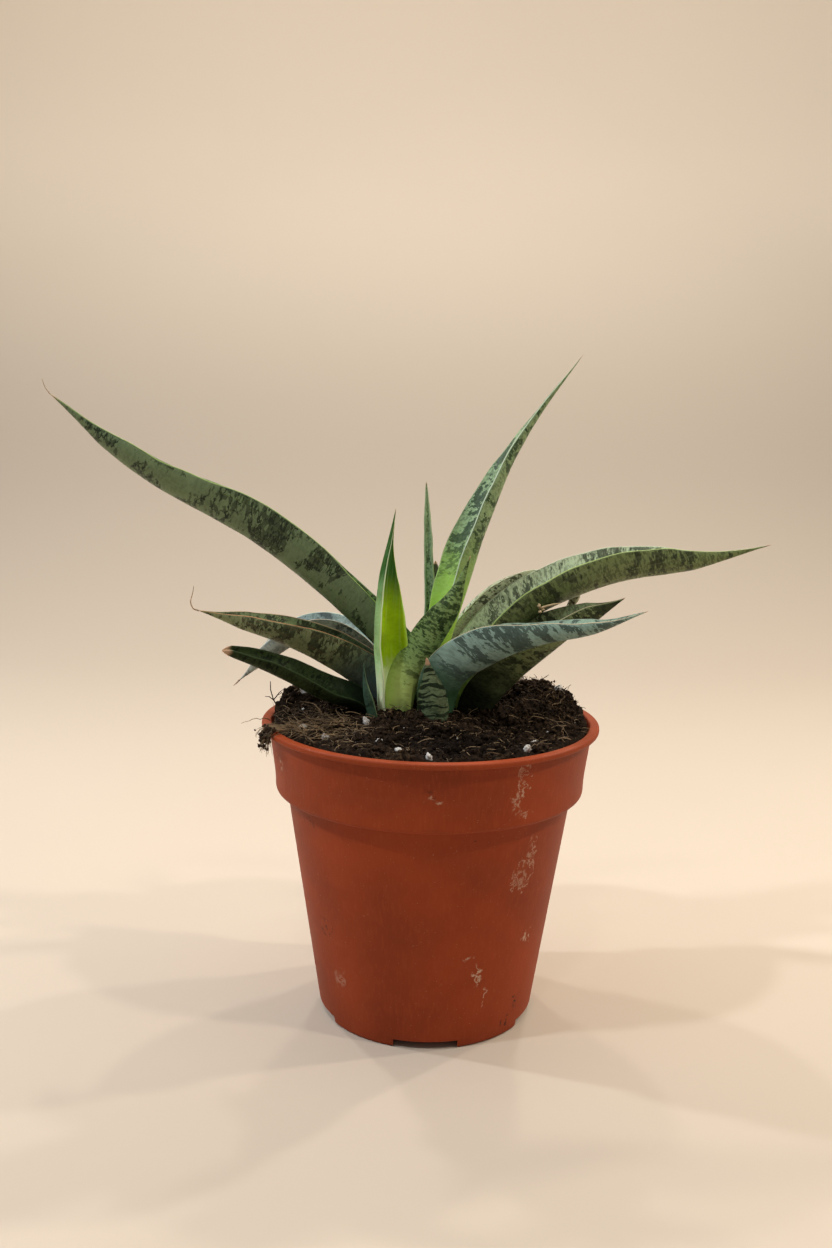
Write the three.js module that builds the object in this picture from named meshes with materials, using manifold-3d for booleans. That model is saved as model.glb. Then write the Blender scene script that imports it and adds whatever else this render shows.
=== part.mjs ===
// Potted snake plant: a plastic nursery pot filled with peat, a rhizome with roots,
// sixteen thick channelled leaves and loose perlite grains.
// Millimetres, +Z up. The origin is on the pot's axis, on the surface that it stands on.
import * as THREE from 'three';
import { mergeVertices } from 'three/addons/utils/BufferGeometryUtils.js';
import Module from 'manifold-3d';

const wasm = await Module();
wasm.setup();

// Driving dimensions

const GAP = 0.3;                      // clearance between neighbouring pieces

const POT = {
  height: 107,
  rimRadius: 60,                      // outer edge of the rim lip
  lipHeight: 2.0,
  collarRadius: 57.4,                 // collar wall just under the lip
  collarLowRadius: 55.2,              // collar wall above its rounded underside
  collarLowZ: 88.5,
  shoulderRadius: 51,                 // top of the tapered body
  shoulderZ: 82,
  baseRadius: 38.6,
  wall: 1.7,
  floorZ: 3.5,                        // underside of the raised floor
  floorThickness: 1.8,
  footRing: 3.4,                      // width of the ring that the pot stands on
  footBevel: 1,
  edgeBevel: 0.5,                     // on both edges of the rim lip
  rimFlat: 1.1,                       // width of the rim's level top
  rimSlope: 1.2,                      // height over which the rim falls to the inner wall
  rimFlare: 0.4,                      // how much wider the inner wall is just under the rim
  collarStep: 0.3,                    // rise of the collar's underside from the shoulder
  collarSteps: 3,
  sides: 48,
};
const FOOT_NOTCH = { count: 5, width: 22, height: 3, startAngle: -90 };
const DRAIN_HOLE = { width: 11.5, innerRadius: 27, outerRadius: 33.5 };
const CUT_PAST = 2;                   // how far a cutting block reaches past what it cuts

const SOIL = {
  edgeZ: 106,                         // height of the soil at the front of the rim
  crown: { x: -6, y: -6, rise: 6.8, spread: 27 },
  ridges: [
    { x: 41, y: 24, rise: 7.5, spread: 15 },
    { x: -50, y: 14, rise: 5.5, spread: 13 },
    { x: -10, y: 44, rise: 4, spread: 20 },
  ],
  hollow: { x: 24, y: -16, rise: -5.5, spread: 9 },
  lump: 0.7,                          // height of the small lumps
  lumpStart: 0.9,                     // radians
  lumpRates: [0.55, 0.5, 0.31, 0.43], // radians per millimetre, along x, y, x and y
  wallGap: 1.2 * GAP,                 // a little over GAP, since the wall leans
  stepGap: 0.6,                       // rise over the steps of the pot's inner wall
  topBelowRim: 3.5,                   // where the soil's side ends and its top begins
  sides: 40,
  // the top's rings: part of the soil's radius, and the number of points round each
  rings: [[1, 40], [0.9, 40], [0.79, 40], [0.67, 40], [0.54, 20], [0.4, 20], [0.25, 10], [0.12, 10]],
};

const RHIZOME = {
  start: [-22, -2, 93], end: [16, 0, 92],
  radius: 6.5,
  knobs: 3,
  knobStretch: [1.7, 1.7, 0.8],
  rootCount: 7,
  rootLength: 46,
  rootLengthVaries: 9,
  rootSpread: 14,                     // how far a root's tip lies from its start, sideways
  rootTurn: 2.4,                      // radians from one root's direction to the next
  rootRadius: 1.6,
  rootTipRadius: 0.8,
};

const CHANNEL_ARC = 70 * Math.PI / 180;   // half of the arc that a leaf's section follows
const MARGIN_THICKNESS = 0.9;
const MARGIN_ROUNDING = 0.8;              // below 1 a leaf stays thick nearer to its margins
const THICKEST_PART_OF_WIDTH = 0.42;      // keeps a narrow tip from being thicker than wide
const TIP_THICKNESS = 0.3;                // what a leaf's thickness runs down to
const NARROWEST = 1;
const SHALLOWEST = 0.3;
const SECTION_POINTS = 6;

// Each leaf is a row of sections evenly spread from base to tip. path holds the
// mid-rib; width and depth are those of the channelled section; roll turns the channel
// about the rib at base, middle and tip; faces is the direction that the channel opens
// to at the base, in degrees from +X.
const LEAVES = [
  {
    name: 'leaf_front_stub', colour: 0x4f6350, steps: 7, thick: 4.2, faces: 90,
    path: [[2.5, -19, 99], [1, -20, 110], [0, -20.5, 121], [-2, -21, 133]],
    width: [7, 9, 10.5, 2.5], depth: [3, 5, 4, 1], roll: [0, 0, 0],
  },
  {
    name: 'leaf_centre_curved', colour: 0x5f7d4c, steps: 12, thick: 3.4, faces: 125,
    path: [[-11, -12, 98], [-8, -12, 120], [-1, -11, 134], [7, -10, 149], [12.5, -9, 166.5]],
    width: [9, 10, 10, 8, 2], depth: [3, 6, 7, 4, 1], roll: [0, 0, 0],
  },
  {
    name: 'leaf_young_bright', colour: 0x8db33a, steps: 12, thick: 2.8, faces: -20,
    path: [[-15.5, -9, 98], [-16.5, -9, 122], [-17.5, -8, 140], [-17, -6, 160], [-13.5, -4, 182]],
    width: [9, 12, 11, 7, 1.2], depth: [3, 6, 6, 3, 0.8], roll: [-15, -30, 10],
  },
  {
    name: 'leaf_pup_front', colour: 0x6f8a64, steps: 5, thick: 1.8, faces: 10,
    path: [[-18, -17, 101], [-22.5, -18, 119], [-23.5, -19, 130.5]],
    width: [4.5, 3.5, 1], depth: [1.5, 1.5, 0.5], roll: [0, 0, 0],
  },
  {
    name: 'leaf_pup_back', colour: 0x66805a, steps: 5, thick: 1.6, faces: -20,
    path: [[-22.5, -12.5, 103], [-21.8, -13.5, 114], [-22.5, -14.5, 123.5]],
    width: [3.6, 3.6, 1.2], depth: [1.2, 1.2, 0.4], roll: [0, 0, 0],
  },
  {
    name: 'leaf_left_low', colour: 0x2f4426, steps: 13, thick: 3.6, faces: 0,
    path: [[-20, -7, 100], [-24.5, -10, 113], [-37.5, -14, 118.5], [-52.5, -20, 127.5], [-70, -28, 135.5]],
    width: [9, 10, 10.5, 7.5, 2.5], depth: [2, 3, 4.5, 4, 1.5], roll: [0, 0, 0],
  },
  {
    name: 'leaf_front_right', colour: 0x6d8f88, steps: 15, thick: 3.4, faces: 180,
    path: [
      [5, -8, 98], [8, -12, 120.5], [20, -17, 132],
      [36.5, -22, 140], [55, -26, 145], [70.5, -29, 151.5],
    ],
    width: [10, 13.5, 13, 9.5, 6, 1.5], depth: [3, 11, 11, 5.5, 2.5, 0.5], roll: [-20, -30, -10],
  },
  {
    name: 'leaf_low_right', colour: 0x3a4a2a, steps: 12, thick: 3.4, faces: 180,
    path: [[12, -1, 98], [26, 2, 118], [45, 2, 135.8], [67.5, -2, 152]],
    width: [10, 17, 15, 1.5], depth: [3, 12, 9, 0.5], roll: [-40, 20, -10],
  },
  {
    name: 'leaf_left_channelled', colour: 0x59663f, steps: 14, thick: 3.4, faces: 0,
    path: [[-13, 6, 100], [-23.5, 5, 116], [-39.5, 1, 128], [-56, -5, 137], [-80.5, -13, 146.5]],
    width: [9, 13, 15, 12, 1.5], depth: [4, 11, 10, 6, 0.5], roll: [10, 10, 10],
  },
  {
    name: 'leaf_long_left', colour: 0x4c6142, steps: 17, thick: 3.6, faces: 0,
    path: [
      [-6, 6, 100], [-11, 6, 123], [-32, 3, 146],
      [-62, -4, 171], [-98.5, -12, 193], [-127, -20, 218.5],
    ],
    width: [9, 13, 17, 16.5, 14, 1.5], depth: [2, 8, 10, 11, 6, 0.5], roll: [-30, 10, 10],
  },
  {
    name: 'leaf_arching_right', colour: 0x6c7c5a, steps: 17, thick: 3.4, faces: 180,
    path: [
      [8, 3, 98], [11, 4, 115.5], [20, 6, 130.5], [38, 10, 145.5],
      [66, 16, 156.5], [97, 21, 161.5], [125.5, 25, 169],
    ],
    width: [8, 12, 15, 15, 13.5, 8.5, 1.5], depth: [2, 6, 9, 10.5, 10, 6, 0.5], roll: [25, 20, 0],
  },
  {
    name: 'leaf_tall_right', colour: 0x789169, steps: 16, thick: 3.2, faces: 180,
    path: [[1, 9, 98], [4, 9, 129.5], [10, 10, 151.5], [17, 11, 174.5], [30, 13, 205.5], [51.5, 15, 236]],
    width: [8, 11.5, 16, 17, 9, 1.5], depth: [1, 4, 7, 6, 2, 0.5], roll: [20, 20, -5],
  },
  {
    name: 'leaf_behind_right', colour: 0x74765a, steps: 14, thick: 3, faces: 180,
    path: [[9, 13, 98], [6.5, 17, 125], [19.5, 19, 145], [36, 22, 154], [52, 24, 150], [48.5, 24, 140]],
    width: [8, 10, 13, 12, 6, 2], depth: [1.5, 3.5, 4, 3.5, 1.5, 0.5], roll: [0, 0, 0],
  },
  {
    name: 'leaf_left_drooping', colour: 0x8798a0, steps: 14, thick: 3, faces: 0,
    path: [
      [-12, 16, 100], [-17, 20, 116], [-30, 20, 130],
      [-43, 18, 134], [-56.5, 15, 127.5], [-70.5, 13, 116.5],
    ],
    width: [8, 11, 13, 12, 8, 1.5], depth: [2, 5, 6, 6, 5, 0.5], roll: [-15, -5, 10],
  },
  {
    name: 'leaf_back_narrow', colour: 0x7d8d76, steps: 8, thick: 2.6, faces: 270,
    path: [[-1, 16, 100], [-0.5, 17, 132], [-1.5, 18, 161.5], [-3, 19, 190]],
    width: [5, 4, 2.5, 1.2], depth: [1.5, 1.5, 1, 0.5], roll: [0, 0, 0],
  },
  {
    name: 'leaf_back_short', colour: 0x6a6a4c, steps: 6, thick: 2.2, faces: 270,
    path: [[4, 22, 100], [3, 22.5, 130], [1.5, 23, 152], [1, 22.5, 161]],
    width: [5, 4.5, 3, 1.6], depth: [1.8, 1.5, 1, 0.6], roll: [0, 0, 0],
  },
];

// Perlite grains that lie in the soil: place of the grain's middle, and its size
const PERLITE = [
  { x: -46, y: 13, size: 5 }, { x: -43.5, y: -24, size: 2.6 }, { x: -35, y: -34, size: 3.2 },
  { x: -22, y: -24, size: 2.6 }, { x: -17, y: -40, size: 2.8 }, { x: -10.5, y: -48, size: 2.6 },
  { x: -1, y: -53, size: 2.6 }, { x: 31, y: -43, size: 3 }, { x: 34, y: -34, size: 2.6 },
  { x: 48.5, y: 24, size: 3.4 }, { x: 6, y: 46, size: 3.4 }, { x: -28, y: 40, size: 3 },
];
const PERLITE_SEED = 7;
const PERLITE_STANDS_PROUD = 0.12;        // how far a grain's middle is above the soil, per size
const PERLITE_STRETCH = [[0.85, 1.15], [0.8, 1.1], [0.7, 0.9]];   // least and most, along x, y, z

// Geometry helpers

// Merges the shared vertices of a mesh and drops its empty triangles.
function toSolid(geometry) {
  const bare = geometry.index ? geometry.toNonIndexed() : geometry.clone();
  bare.deleteAttribute('normal');
  bare.deleteAttribute('uv');
  const merged = mergeVertices(bare, 1e-4);
  const corners = merged.index.array;
  const kept = [];
  for (let i = 0; i < corners.length; i += 3) {
    const [a, b, c] = [corners[i], corners[i + 1], corners[i + 2]];
    if (a !== b && b !== c && a !== c) kept.push(a, b, c);
  }
  const mesh = new wasm.Mesh({
    numProp: 3,
    vertProperties: Float32Array.from(merged.attributes.position.array),
    triVerts: Uint32Array.from(kept),
  });
  return new wasm.Manifold(mesh);
}

// Turns a solid back into a geometry.
function toGeometry(solid) {
  const mesh = solid.getMesh();
  const geometry = new THREE.BufferGeometry();
  geometry.setAttribute('position', new THREE.BufferAttribute(mesh.vertProperties, 3));
  geometry.setIndex(new THREE.BufferAttribute(mesh.triVerts, 1));
  geometry.computeVertexNormals();
  return geometry;
}

// The largest of the bodies that a cut has left.
function largestBody(solid) {
  const bodies = solid.decompose();
  return bodies.reduce((best, body) => (body.volume() > best.volume() ? body : best));
}

// Closed body from a list of corners and a list of triangles, faces pointing out.
function bodyFrom(points, triangles) {
  let volume = 0;
  for (const [a, b, c] of triangles) {
    volume += points[a].dot(new THREE.Vector3().crossVectors(points[b], points[c]));
  }
  const facing = volume > 0 ? triangles : triangles.map(([a, b, c]) => [a, c, b]);
  const geometry = new THREE.BufferGeometry().setFromPoints(points);
  geometry.setIndex(facing.flat());
  return geometry;
}

// Value at t, from 0 to 1, of a smooth row of numbers spread evenly along a leaf.
function along(row, t) {
  const points = row.map((value) => new THREE.Vector3(value, 0, 0));
  return new THREE.CatmullRomCurve3(points, false, 'catmullrom', 0.5).getPoint(t).x;
}

function seededRandom(seed) {
  let state = seed;
  return () => {
    state = (state * 16807) % 2147483647;
    return state / 2147483647;
  };
}

// Leaves

// Mid-rib points with their tangent and the direction that the channel opens to. That
// direction is carried along the rib without twisting and then turned by the roll.
function leafStations(leaf) {
  const rib = new THREE.CatmullRomCurve3(
    leaf.path.map((p) => new THREE.Vector3(...p)), false, 'catmullrom', 0.5);
  const facing = THREE.MathUtils.degToRad(leaf.faces);
  let opening = new THREE.Vector3(Math.cos(facing), Math.sin(facing), 0);
  const fine = 4;                     // small steps to each section
  const stations = [];
  for (let i = 0; i <= leaf.steps * fine; i++) {
    const t = i / (leaf.steps * fine);
    const tangent = rib.getTangent(t);
    opening = opening.clone().addScaledVector(tangent, -opening.dot(tangent)).normalize();
    if (i % fine === 0) {
      const roll = THREE.MathUtils.degToRad(along(leaf.roll, t));
      const inward = opening.clone().applyAxisAngle(tangent, roll);
      const across = new THREE.Vector3().crossVectors(tangent, inward);
      stations.push({ t, point: rib.getPoint(t), tangent, inward, across });
    }
  }
  return stations;
}

// Inner and outer row of points of one channelled section.
function leafSection(leaf, station, grow) {
  const width = Math.max(along(leaf.width, station.t), NARROWEST);
  const depth = Math.max(along(leaf.depth, station.t), SHALLOWEST);
  const middle = Math.min(leaf.thick, THICKEST_PART_OF_WIDTH * width + TIP_THICKNESS);
  const margin = Math.min(MARGIN_THICKNESS, middle);
  const halfWidth = width / 2 / Math.sin(CHANNEL_ARC);
  const fullDepth = depth / (1 - Math.cos(CHANNEL_ARC));
  const rows = { inner: [], outer: [] };
  for (let i = 0; i < SECTION_POINTS; i++) {
    const side = 2 * i / (SECTION_POINTS - 1) - 1;
    const angle = CHANNEL_ARC * side;
    const slope = new THREE.Vector2(halfWidth * Math.cos(angle), fullDepth * Math.sin(angle));
    slope.normalize();
    const bulge = Math.max(Math.cos(Math.PI / 2 * side), 0) ** MARGIN_ROUNDING;
    const half = (margin + (middle - margin) * bulge) / 2 + grow;
    const u = halfWidth * Math.sin(angle) + slope.x * side * Math.abs(side) * grow;
    const v = fullDepth * (1 - Math.cos(angle)) + slope.y * side * Math.abs(side) * grow;
    const at = (du, dv) => station.point.clone()
      .addScaledVector(station.across, u + du)
      .addScaledVector(station.inward, v + dv);
    rows.inner.push(at(-slope.y * half, slope.x * half));
    rows.outer.push(at(slope.y * half, -slope.x * half));
  }
  return rows;
}

// A whole leaf. Both faces are split along the same diagonals.
function leafGeometry(leaf, grow = 0) {
  const stations = leafStations(leaf);
  stations[0].point.addScaledVector(stations[0].tangent, -grow);
  stations.at(-1).point.addScaledVector(stations.at(-1).tangent, grow);
  const points = [];
  const triangles = [];
  for (const station of stations) {
    const section = leafSection(leaf, station, grow);
    points.push(...section.inner, ...section.outer);
  }
  const row = SECTION_POINTS;
  const inner = (k, i) => 2 * row * k + i;
  const outer = (k, i) => 2 * row * k + row + i;
  const last = stations.length - 1;
  for (let k = 0; k < last; k++) {
    for (let i = 0; i < row - 1; i++) {
      triangles.push([inner(k, i), inner(k + 1, i + 1), inner(k, i + 1)]);
      triangles.push([inner(k, i), inner(k + 1, i), inner(k + 1, i + 1)]);
      triangles.push([outer(k, i), outer(k, i + 1), outer(k + 1, i + 1)]);
      triangles.push([outer(k, i), outer(k + 1, i + 1), outer(k + 1, i)]);
    }
    triangles.push([inner(k, 0), outer(k, 0), outer(k + 1, 0)]);
    triangles.push([inner(k, 0), outer(k + 1, 0), inner(k + 1, 0)]);
    const edge = row - 1;
    triangles.push([inner(k, edge), outer(k + 1, edge), outer(k, edge)]);
    triangles.push([inner(k, edge), inner(k + 1, edge), outer(k + 1, edge)]);
  }
  for (let i = 0; i < row - 1; i++) {
    triangles.push([inner(0, i), inner(0, i + 1), outer(0, i + 1)]);
    triangles.push([inner(0, i), outer(0, i + 1), outer(0, i)]);
    triangles.push([inner(last, i), outer(last, i + 1), inner(last, i + 1)]);
    triangles.push([inner(last, i), outer(last, i), outer(last, i + 1)]);
  }
  return bodyFrom(points, triangles);
}

// Pot

const FLOOR_TOP = POT.floorZ + POT.floorThickness;

// Outer radius of the tapered body at a height.
function bodyRadius(z) {
  return POT.baseRadius + (POT.shoulderRadius - POT.baseRadius) * z / POT.shoulderZ;
}

function potWall() {
  const { height, rimRadius, wall, footBevel, edgeBevel, collarStep } = POT;
  const footInner = POT.baseRadius - POT.footRing;
  const lipBottom = height - POT.lipHeight;
  const underside = new THREE.QuadraticBezierCurve(
    new THREE.Vector2(POT.shoulderRadius, POT.shoulderZ),
    new THREE.Vector2(POT.collarLowRadius, POT.shoulderZ + collarStep),
    new THREE.Vector2(POT.collarLowRadius, POT.collarLowZ));
  const profile = [
    new THREE.Vector2(0, POT.floorZ),
    new THREE.Vector2(footInner - footBevel, POT.floorZ),
    new THREE.Vector2(footInner, 0),
    new THREE.Vector2(POT.baseRadius - footBevel, 0),
    new THREE.Vector2(bodyRadius(footBevel), footBevel),
    ...underside.getPoints(POT.collarSteps),
    new THREE.Vector2(POT.collarRadius, lipBottom - edgeBevel),
    new THREE.Vector2(rimRadius - edgeBevel, lipBottom),
    new THREE.Vector2(rimRadius, lipBottom + edgeBevel),
    new THREE.Vector2(rimRadius, height - edgeBevel),
    new THREE.Vector2(rimRadius - edgeBevel, height),
    new THREE.Vector2(rimRadius - edgeBevel - POT.rimFlat, height),
    new THREE.Vector2(POT.collarRadius - wall + POT.rimFlare, height - POT.rimSlope),
    new THREE.Vector2(POT.collarLowRadius - wall, POT.collarLowZ),
    new THREE.Vector2(POT.shoulderRadius - wall, POT.shoulderZ + collarStep),
    new THREE.Vector2(bodyRadius(FLOOR_TOP) - wall, FLOOR_TOP),
    new THREE.Vector2(0, FLOOR_TOP),
  ];
  return new THREE.LatheGeometry(profile, POT.sides);
}

// Block that reaches from one radius to another, pointing out from the pot's axis.
function radialBlock(innerRadius, outerRadius, width, bottom, top, degrees) {
  const block = new THREE.BoxGeometry(outerRadius - innerRadius, width, top - bottom);
  block.translate((innerRadius + outerRadius) / 2, 0, (bottom + top) / 2);
  block.rotateZ(THREE.MathUtils.degToRad(degrees));
  return block;
}

function potGeometry() {
  const wall = potWall();
  wall.rotateX(Math.PI / 2);
  let pot = toSolid(wall);
  for (let i = 0; i < FOOT_NOTCH.count; i++) {
    const angle = FOOT_NOTCH.startAngle + i * 360 / FOOT_NOTCH.count;
    const notch = radialBlock(POT.baseRadius - POT.footRing - CUT_PAST, POT.baseRadius + CUT_PAST,
      FOOT_NOTCH.width, -CUT_PAST, FOOT_NOTCH.height, angle);
    const drain = radialBlock(DRAIN_HOLE.innerRadius, DRAIN_HOLE.outerRadius,
      DRAIN_HOLE.width, -CUT_PAST, FLOOR_TOP + CUT_PAST, angle);
    pot = pot.subtract(toSolid(notch)).subtract(toSolid(drain));
  }
  return toGeometry(pot);
}

// Soil

function hill({ x, y, rise, spread }, px, py) {
  return rise * Math.exp(-((px - x) ** 2 + (py - y) ** 2) / (2 * spread ** 2));
}

function soilHeight(x, y) {
  let z = SOIL.edgeZ + hill(SOIL.crown, x, y) + hill(SOIL.hollow, x, y);
  for (const ridge of SOIL.ridges) z += hill(ridge, x, y);
  const [a, b, c, d] = SOIL.lumpRates;
  const lumps = Math.sin(a * x + SOIL.lumpStart) * Math.cos(b * y) + Math.sin(c * x - d * y);
  return z + SOIL.lump * lumps;
}

function soilMound() {
  const side = [
    [bodyRadius(FLOOR_TOP), FLOOR_TOP + GAP],
    [POT.shoulderRadius, POT.shoulderZ + POT.collarStep + SOIL.stepGap],
    [POT.collarLowRadius, POT.collarLowZ + SOIL.stepGap],
    [POT.collarRadius, POT.height - SOIL.topBelowRim],
  ].map(([radius, z]) => [radius - POT.wall - SOIL.wallGap, z]);
  const topRadius = side.at(-1)[0];
  const bottom = new THREE.Vector3(0, 0, FLOOR_TOP + GAP);
  const top = new THREE.Vector3(0, 0, soilHeight(0, 0));
  const ring = (radius, count, height) => Array.from({ length: count }, (_, j) => {
    const angle = 2 * Math.PI * j / count;
    const [x, y] = [radius * Math.cos(angle), radius * Math.sin(angle)];
    return new THREE.Vector3(x, y, height(x, y));
  });
  const rings = [
    ...side.map(([radius, z]) => ring(radius, SOIL.sides, () => z)),
    ...SOIL.rings.map(([part, count]) => ring(topRadius * part, count, soilHeight)),
  ];
  return toSolid(bodyFromRings(bottom, rings, top));
}

// Closed body through rings of points. A ring may have half as many points as the one
// before it.
function bodyFromRings(bottom, rings, top) {
  const points = [bottom, ...rings.flat(), top];
  const starts = rings.map((_, k) => 1 + rings.slice(0, k).flat().length);
  const at = (k, j) => starts[k] + j % rings[k].length;
  const triangles = rings[0].map((_, j) => [0, at(0, j + 1), at(0, j)]);
  for (let k = 0; k < rings.length - 1; k++) {
    const step = rings[k].length / rings[k + 1].length;
    for (let j = 0; j < rings[k + 1].length; j++) {
      const [here, next] = [at(k + 1, j), at(k + 1, j + 1)];
      if (step === 2) triangles.push([at(k, 2 * j), at(k, 2 * j + 1), here]);
      triangles.push([at(k, step * j + step - 1), at(k, step * (j + 1)), next]);
      triangles.push([at(k, step * j + step - 1), next, here]);
    }
  }
  const last = rings.length - 1;
  rings[last].forEach((_, j) => triangles.push([at(last, j), at(last, j + 1), points.length - 1]));
  return bodyFrom(points, triangles);
}

// Rhizome: a short thick stem under the soil with roots that hang from it

function taperedRod(from, to, startRadius, endRadius, sides) {
  const axis = new THREE.Vector3().subVectors(to, from);
  const rod = new THREE.CylinderGeometry(endRadius, startRadius, axis.length(), sides);
  rod.translate(0, axis.length() / 2, 0);
  const turn = new THREE.Quaternion().setFromUnitVectors(
    new THREE.Vector3(0, 1, 0), axis.clone().normalize());
  rod.applyQuaternion(turn);
  rod.translate(from.x, from.y, from.z);
  return toSolid(rod);
}

function rhizomeSolid(grow = 0) {
  const start = new THREE.Vector3(...RHIZOME.start);
  const end = new THREE.Vector3(...RHIZOME.end);
  let stem = null;
  for (let i = 0; i < RHIZOME.knobs; i++) {
    const ball = new THREE.IcosahedronGeometry(RHIZOME.radius + grow, 1);
    const centre = new THREE.Vector3().lerpVectors(start, end, i / (RHIZOME.knobs - 1));
    ball.scale(...RHIZOME.knobStretch);
    ball.translate(centre.x, centre.y, centre.z);
    stem = stem ? stem.add(toSolid(ball)) : toSolid(ball);
  }
  const rootSides = 5;
  for (let i = 0; i < RHIZOME.rootCount; i++) {
    const angle = i * RHIZOME.rootTurn;
    const from = new THREE.Vector3().lerpVectors(start, end, (i + 0.5) / RHIZOME.rootCount);
    const tip = from.clone().add(new THREE.Vector3(
      RHIZOME.rootSpread * Math.cos(angle),
      RHIZOME.rootSpread * Math.sin(angle),
      RHIZOME.rootLengthVaries * Math.sin(3 * angle) - RHIZOME.rootLength));
    stem = stem.add(taperedRod(
      from, tip, RHIZOME.rootRadius + grow, RHIZOME.rootTipRadius + grow, rootSides));
  }
  return stem;
}

// Perlite

function perliteGeometry(grain, random, grow = 0) {
  const geometry = new THREE.IcosahedronGeometry(grain.size / 2 + grow, 0);
  geometry.scale(...PERLITE_STRETCH.map(([least, most]) => least + (most - least) * random()));
  geometry.rotateZ(Math.PI * random());
  geometry.rotateX(Math.PI * random());
  const z = soilHeight(grain.x, grain.y) + PERLITE_STANDS_PROUD * grain.size;
  geometry.translate(grain.x, grain.y, z);
  return geometry;
}

function perliteGrains(grow) {
  const random = seededRandom(PERLITE_SEED);
  return PERLITE.map((grain) => toSolid(perliteGeometry(grain, random, grow)));
}

// Assembly

const group = new THREE.Group();

function addPiece(name, geometry, colour, roughness) {
  const material = new THREE.MeshStandardMaterial({ color: colour, roughness, metalness: 0 });
  const mesh = new THREE.Mesh(geometry, material);
  mesh.name = name;
  group.add(mesh);
}

// Leaves in the order in which they clasp each other: a leaf further down the list
// wraps round, and so makes room for, those before it and the rhizome.
function leafSolids() {
  const taken = [rhizomeSolid(GAP)];
  return LEAVES.map((leaf) => {
    let solid = toSolid(leafGeometry(leaf));
    for (const other of taken) solid = solid.subtract(other);
    taken.push(toSolid(leafGeometry(leaf, GAP)));
    return largestBody(solid);
  });
}

function soilSolid() {
  let soil = soilMound().subtract(rhizomeSolid(GAP));
  for (const leaf of LEAVES) soil = soil.subtract(toSolid(leafGeometry(leaf, GAP)));
  for (const grain of perliteGrains(GAP)) soil = soil.subtract(grain);
  return largestBody(soil);
}

addPiece('pot', potGeometry(), 0x9a4a30, 0.62);
addPiece('soil', toGeometry(soilSolid()), 0x2c1f18, 0.95);
addPiece('rhizome', toGeometry(rhizomeSolid()), 0xc9b68a, 0.8);
leafSolids().forEach((solid, i) => {
  addPiece(LEAVES[i].name, toGeometry(solid), LEAVES[i].colour, 0.5);
});
perliteGrains(0).forEach((solid, i) => {
  addPiece(`perlite_${String(i + 1).padStart(2, '0')}`, toGeometry(solid), 0xdedbd2, 0.9);
});

export default group;
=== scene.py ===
"""Potted snake plant: every visible piece, made round the fixed frame, and its stage."""

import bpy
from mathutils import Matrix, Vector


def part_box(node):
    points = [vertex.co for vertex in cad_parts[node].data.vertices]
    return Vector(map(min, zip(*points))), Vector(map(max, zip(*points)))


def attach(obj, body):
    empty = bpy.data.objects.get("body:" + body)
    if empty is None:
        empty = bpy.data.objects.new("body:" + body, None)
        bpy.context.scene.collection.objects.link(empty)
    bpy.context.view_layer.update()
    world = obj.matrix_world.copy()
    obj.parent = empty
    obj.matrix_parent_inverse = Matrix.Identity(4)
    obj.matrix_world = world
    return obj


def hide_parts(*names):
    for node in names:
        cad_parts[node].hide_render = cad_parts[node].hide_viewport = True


bl_info = {
    "name": "Potted Snake Plant",
    "version": (1, 0, 0),
    "blender": (4, 5, 0),
    "location": "View3D > Sidebar > Plant",
    "description": "Builds a potted snake plant and a plain stage, piece by piece",
    "category": "Add Mesh",
}

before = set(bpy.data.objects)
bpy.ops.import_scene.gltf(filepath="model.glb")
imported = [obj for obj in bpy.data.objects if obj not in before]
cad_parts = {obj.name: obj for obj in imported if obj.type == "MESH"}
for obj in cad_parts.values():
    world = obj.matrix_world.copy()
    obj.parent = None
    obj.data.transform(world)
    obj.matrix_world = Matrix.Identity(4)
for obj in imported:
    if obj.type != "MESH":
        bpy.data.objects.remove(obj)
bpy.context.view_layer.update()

import math
import random

import bmesh
import bpy
import numpy as np
from bpy.props import FloatProperty, FloatVectorProperty, IntProperty, PointerProperty
from mathutils import Matrix, Vector, noise

MM = 0.001


# Sizes, in millimetres

POT = {
    "shoulder_radius": 51.0, "shoulder_z": 82.0,
    "collar_low_radius": 55.2, "collar_low_z": 88.5, "collar_radius": 57.4,
    "base_radius": 38.6, "foot_ring": 3.4, "floor_z": 3.5, "floor_thickness": 1.8,
    "lip_height": 2.0,
}
FOOT_NOTCH = {"count": 5, "width": 22.0, "height": 3.0, "start": -90.0}
DRAIN_HOLE = {"width": 11.5, "inner": 27.0, "outer": 33.5}

SOIL_EDGE_Z = 106.0
SOIL_HILLS = (              # x, y, rise, spread
    (-6, -6, 6.8, 27), (24, -16, -5.5, 9),
    (41, 24, 7.5, 15), (-50, 14, 5.5, 13), (-10, 44, 4, 20),
)
SOIL_LUMP = 0.7
# Painted shade on the soil at the front, under the leaves: a soft patch whose colour is darkened
PAINTED_SHADE_PATCH = {"centre": (10, -40, 108), "half_size": (26, 13, 30), "strength": 0.75}

PERLITE = (                 # x, y, size
    (-46, 13, 5.0), (-43.5, -24, 2.6), (-35, -34, 3.2), (-22, -24, 2.6),
    (-17, -40, 2.8), (-10.5, -48, 2.6), (-1, -53, 2.6), (31, -43, 3.0),
    (34, -34, 2.6), (48.5, 24, 3.4), (6, 46, 3.4), (-28, 40, 3.0),
)
PERLITE_STANDS_PROUD = 0.12     # how far a grain's middle is above the soil, per size

CHANNEL_ARC = math.radians(70)
MARGIN_THICKNESS = 0.9
MARGIN_ROUNDING = 0.8
THICKEST_PART_OF_WIDTH = 0.42

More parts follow.
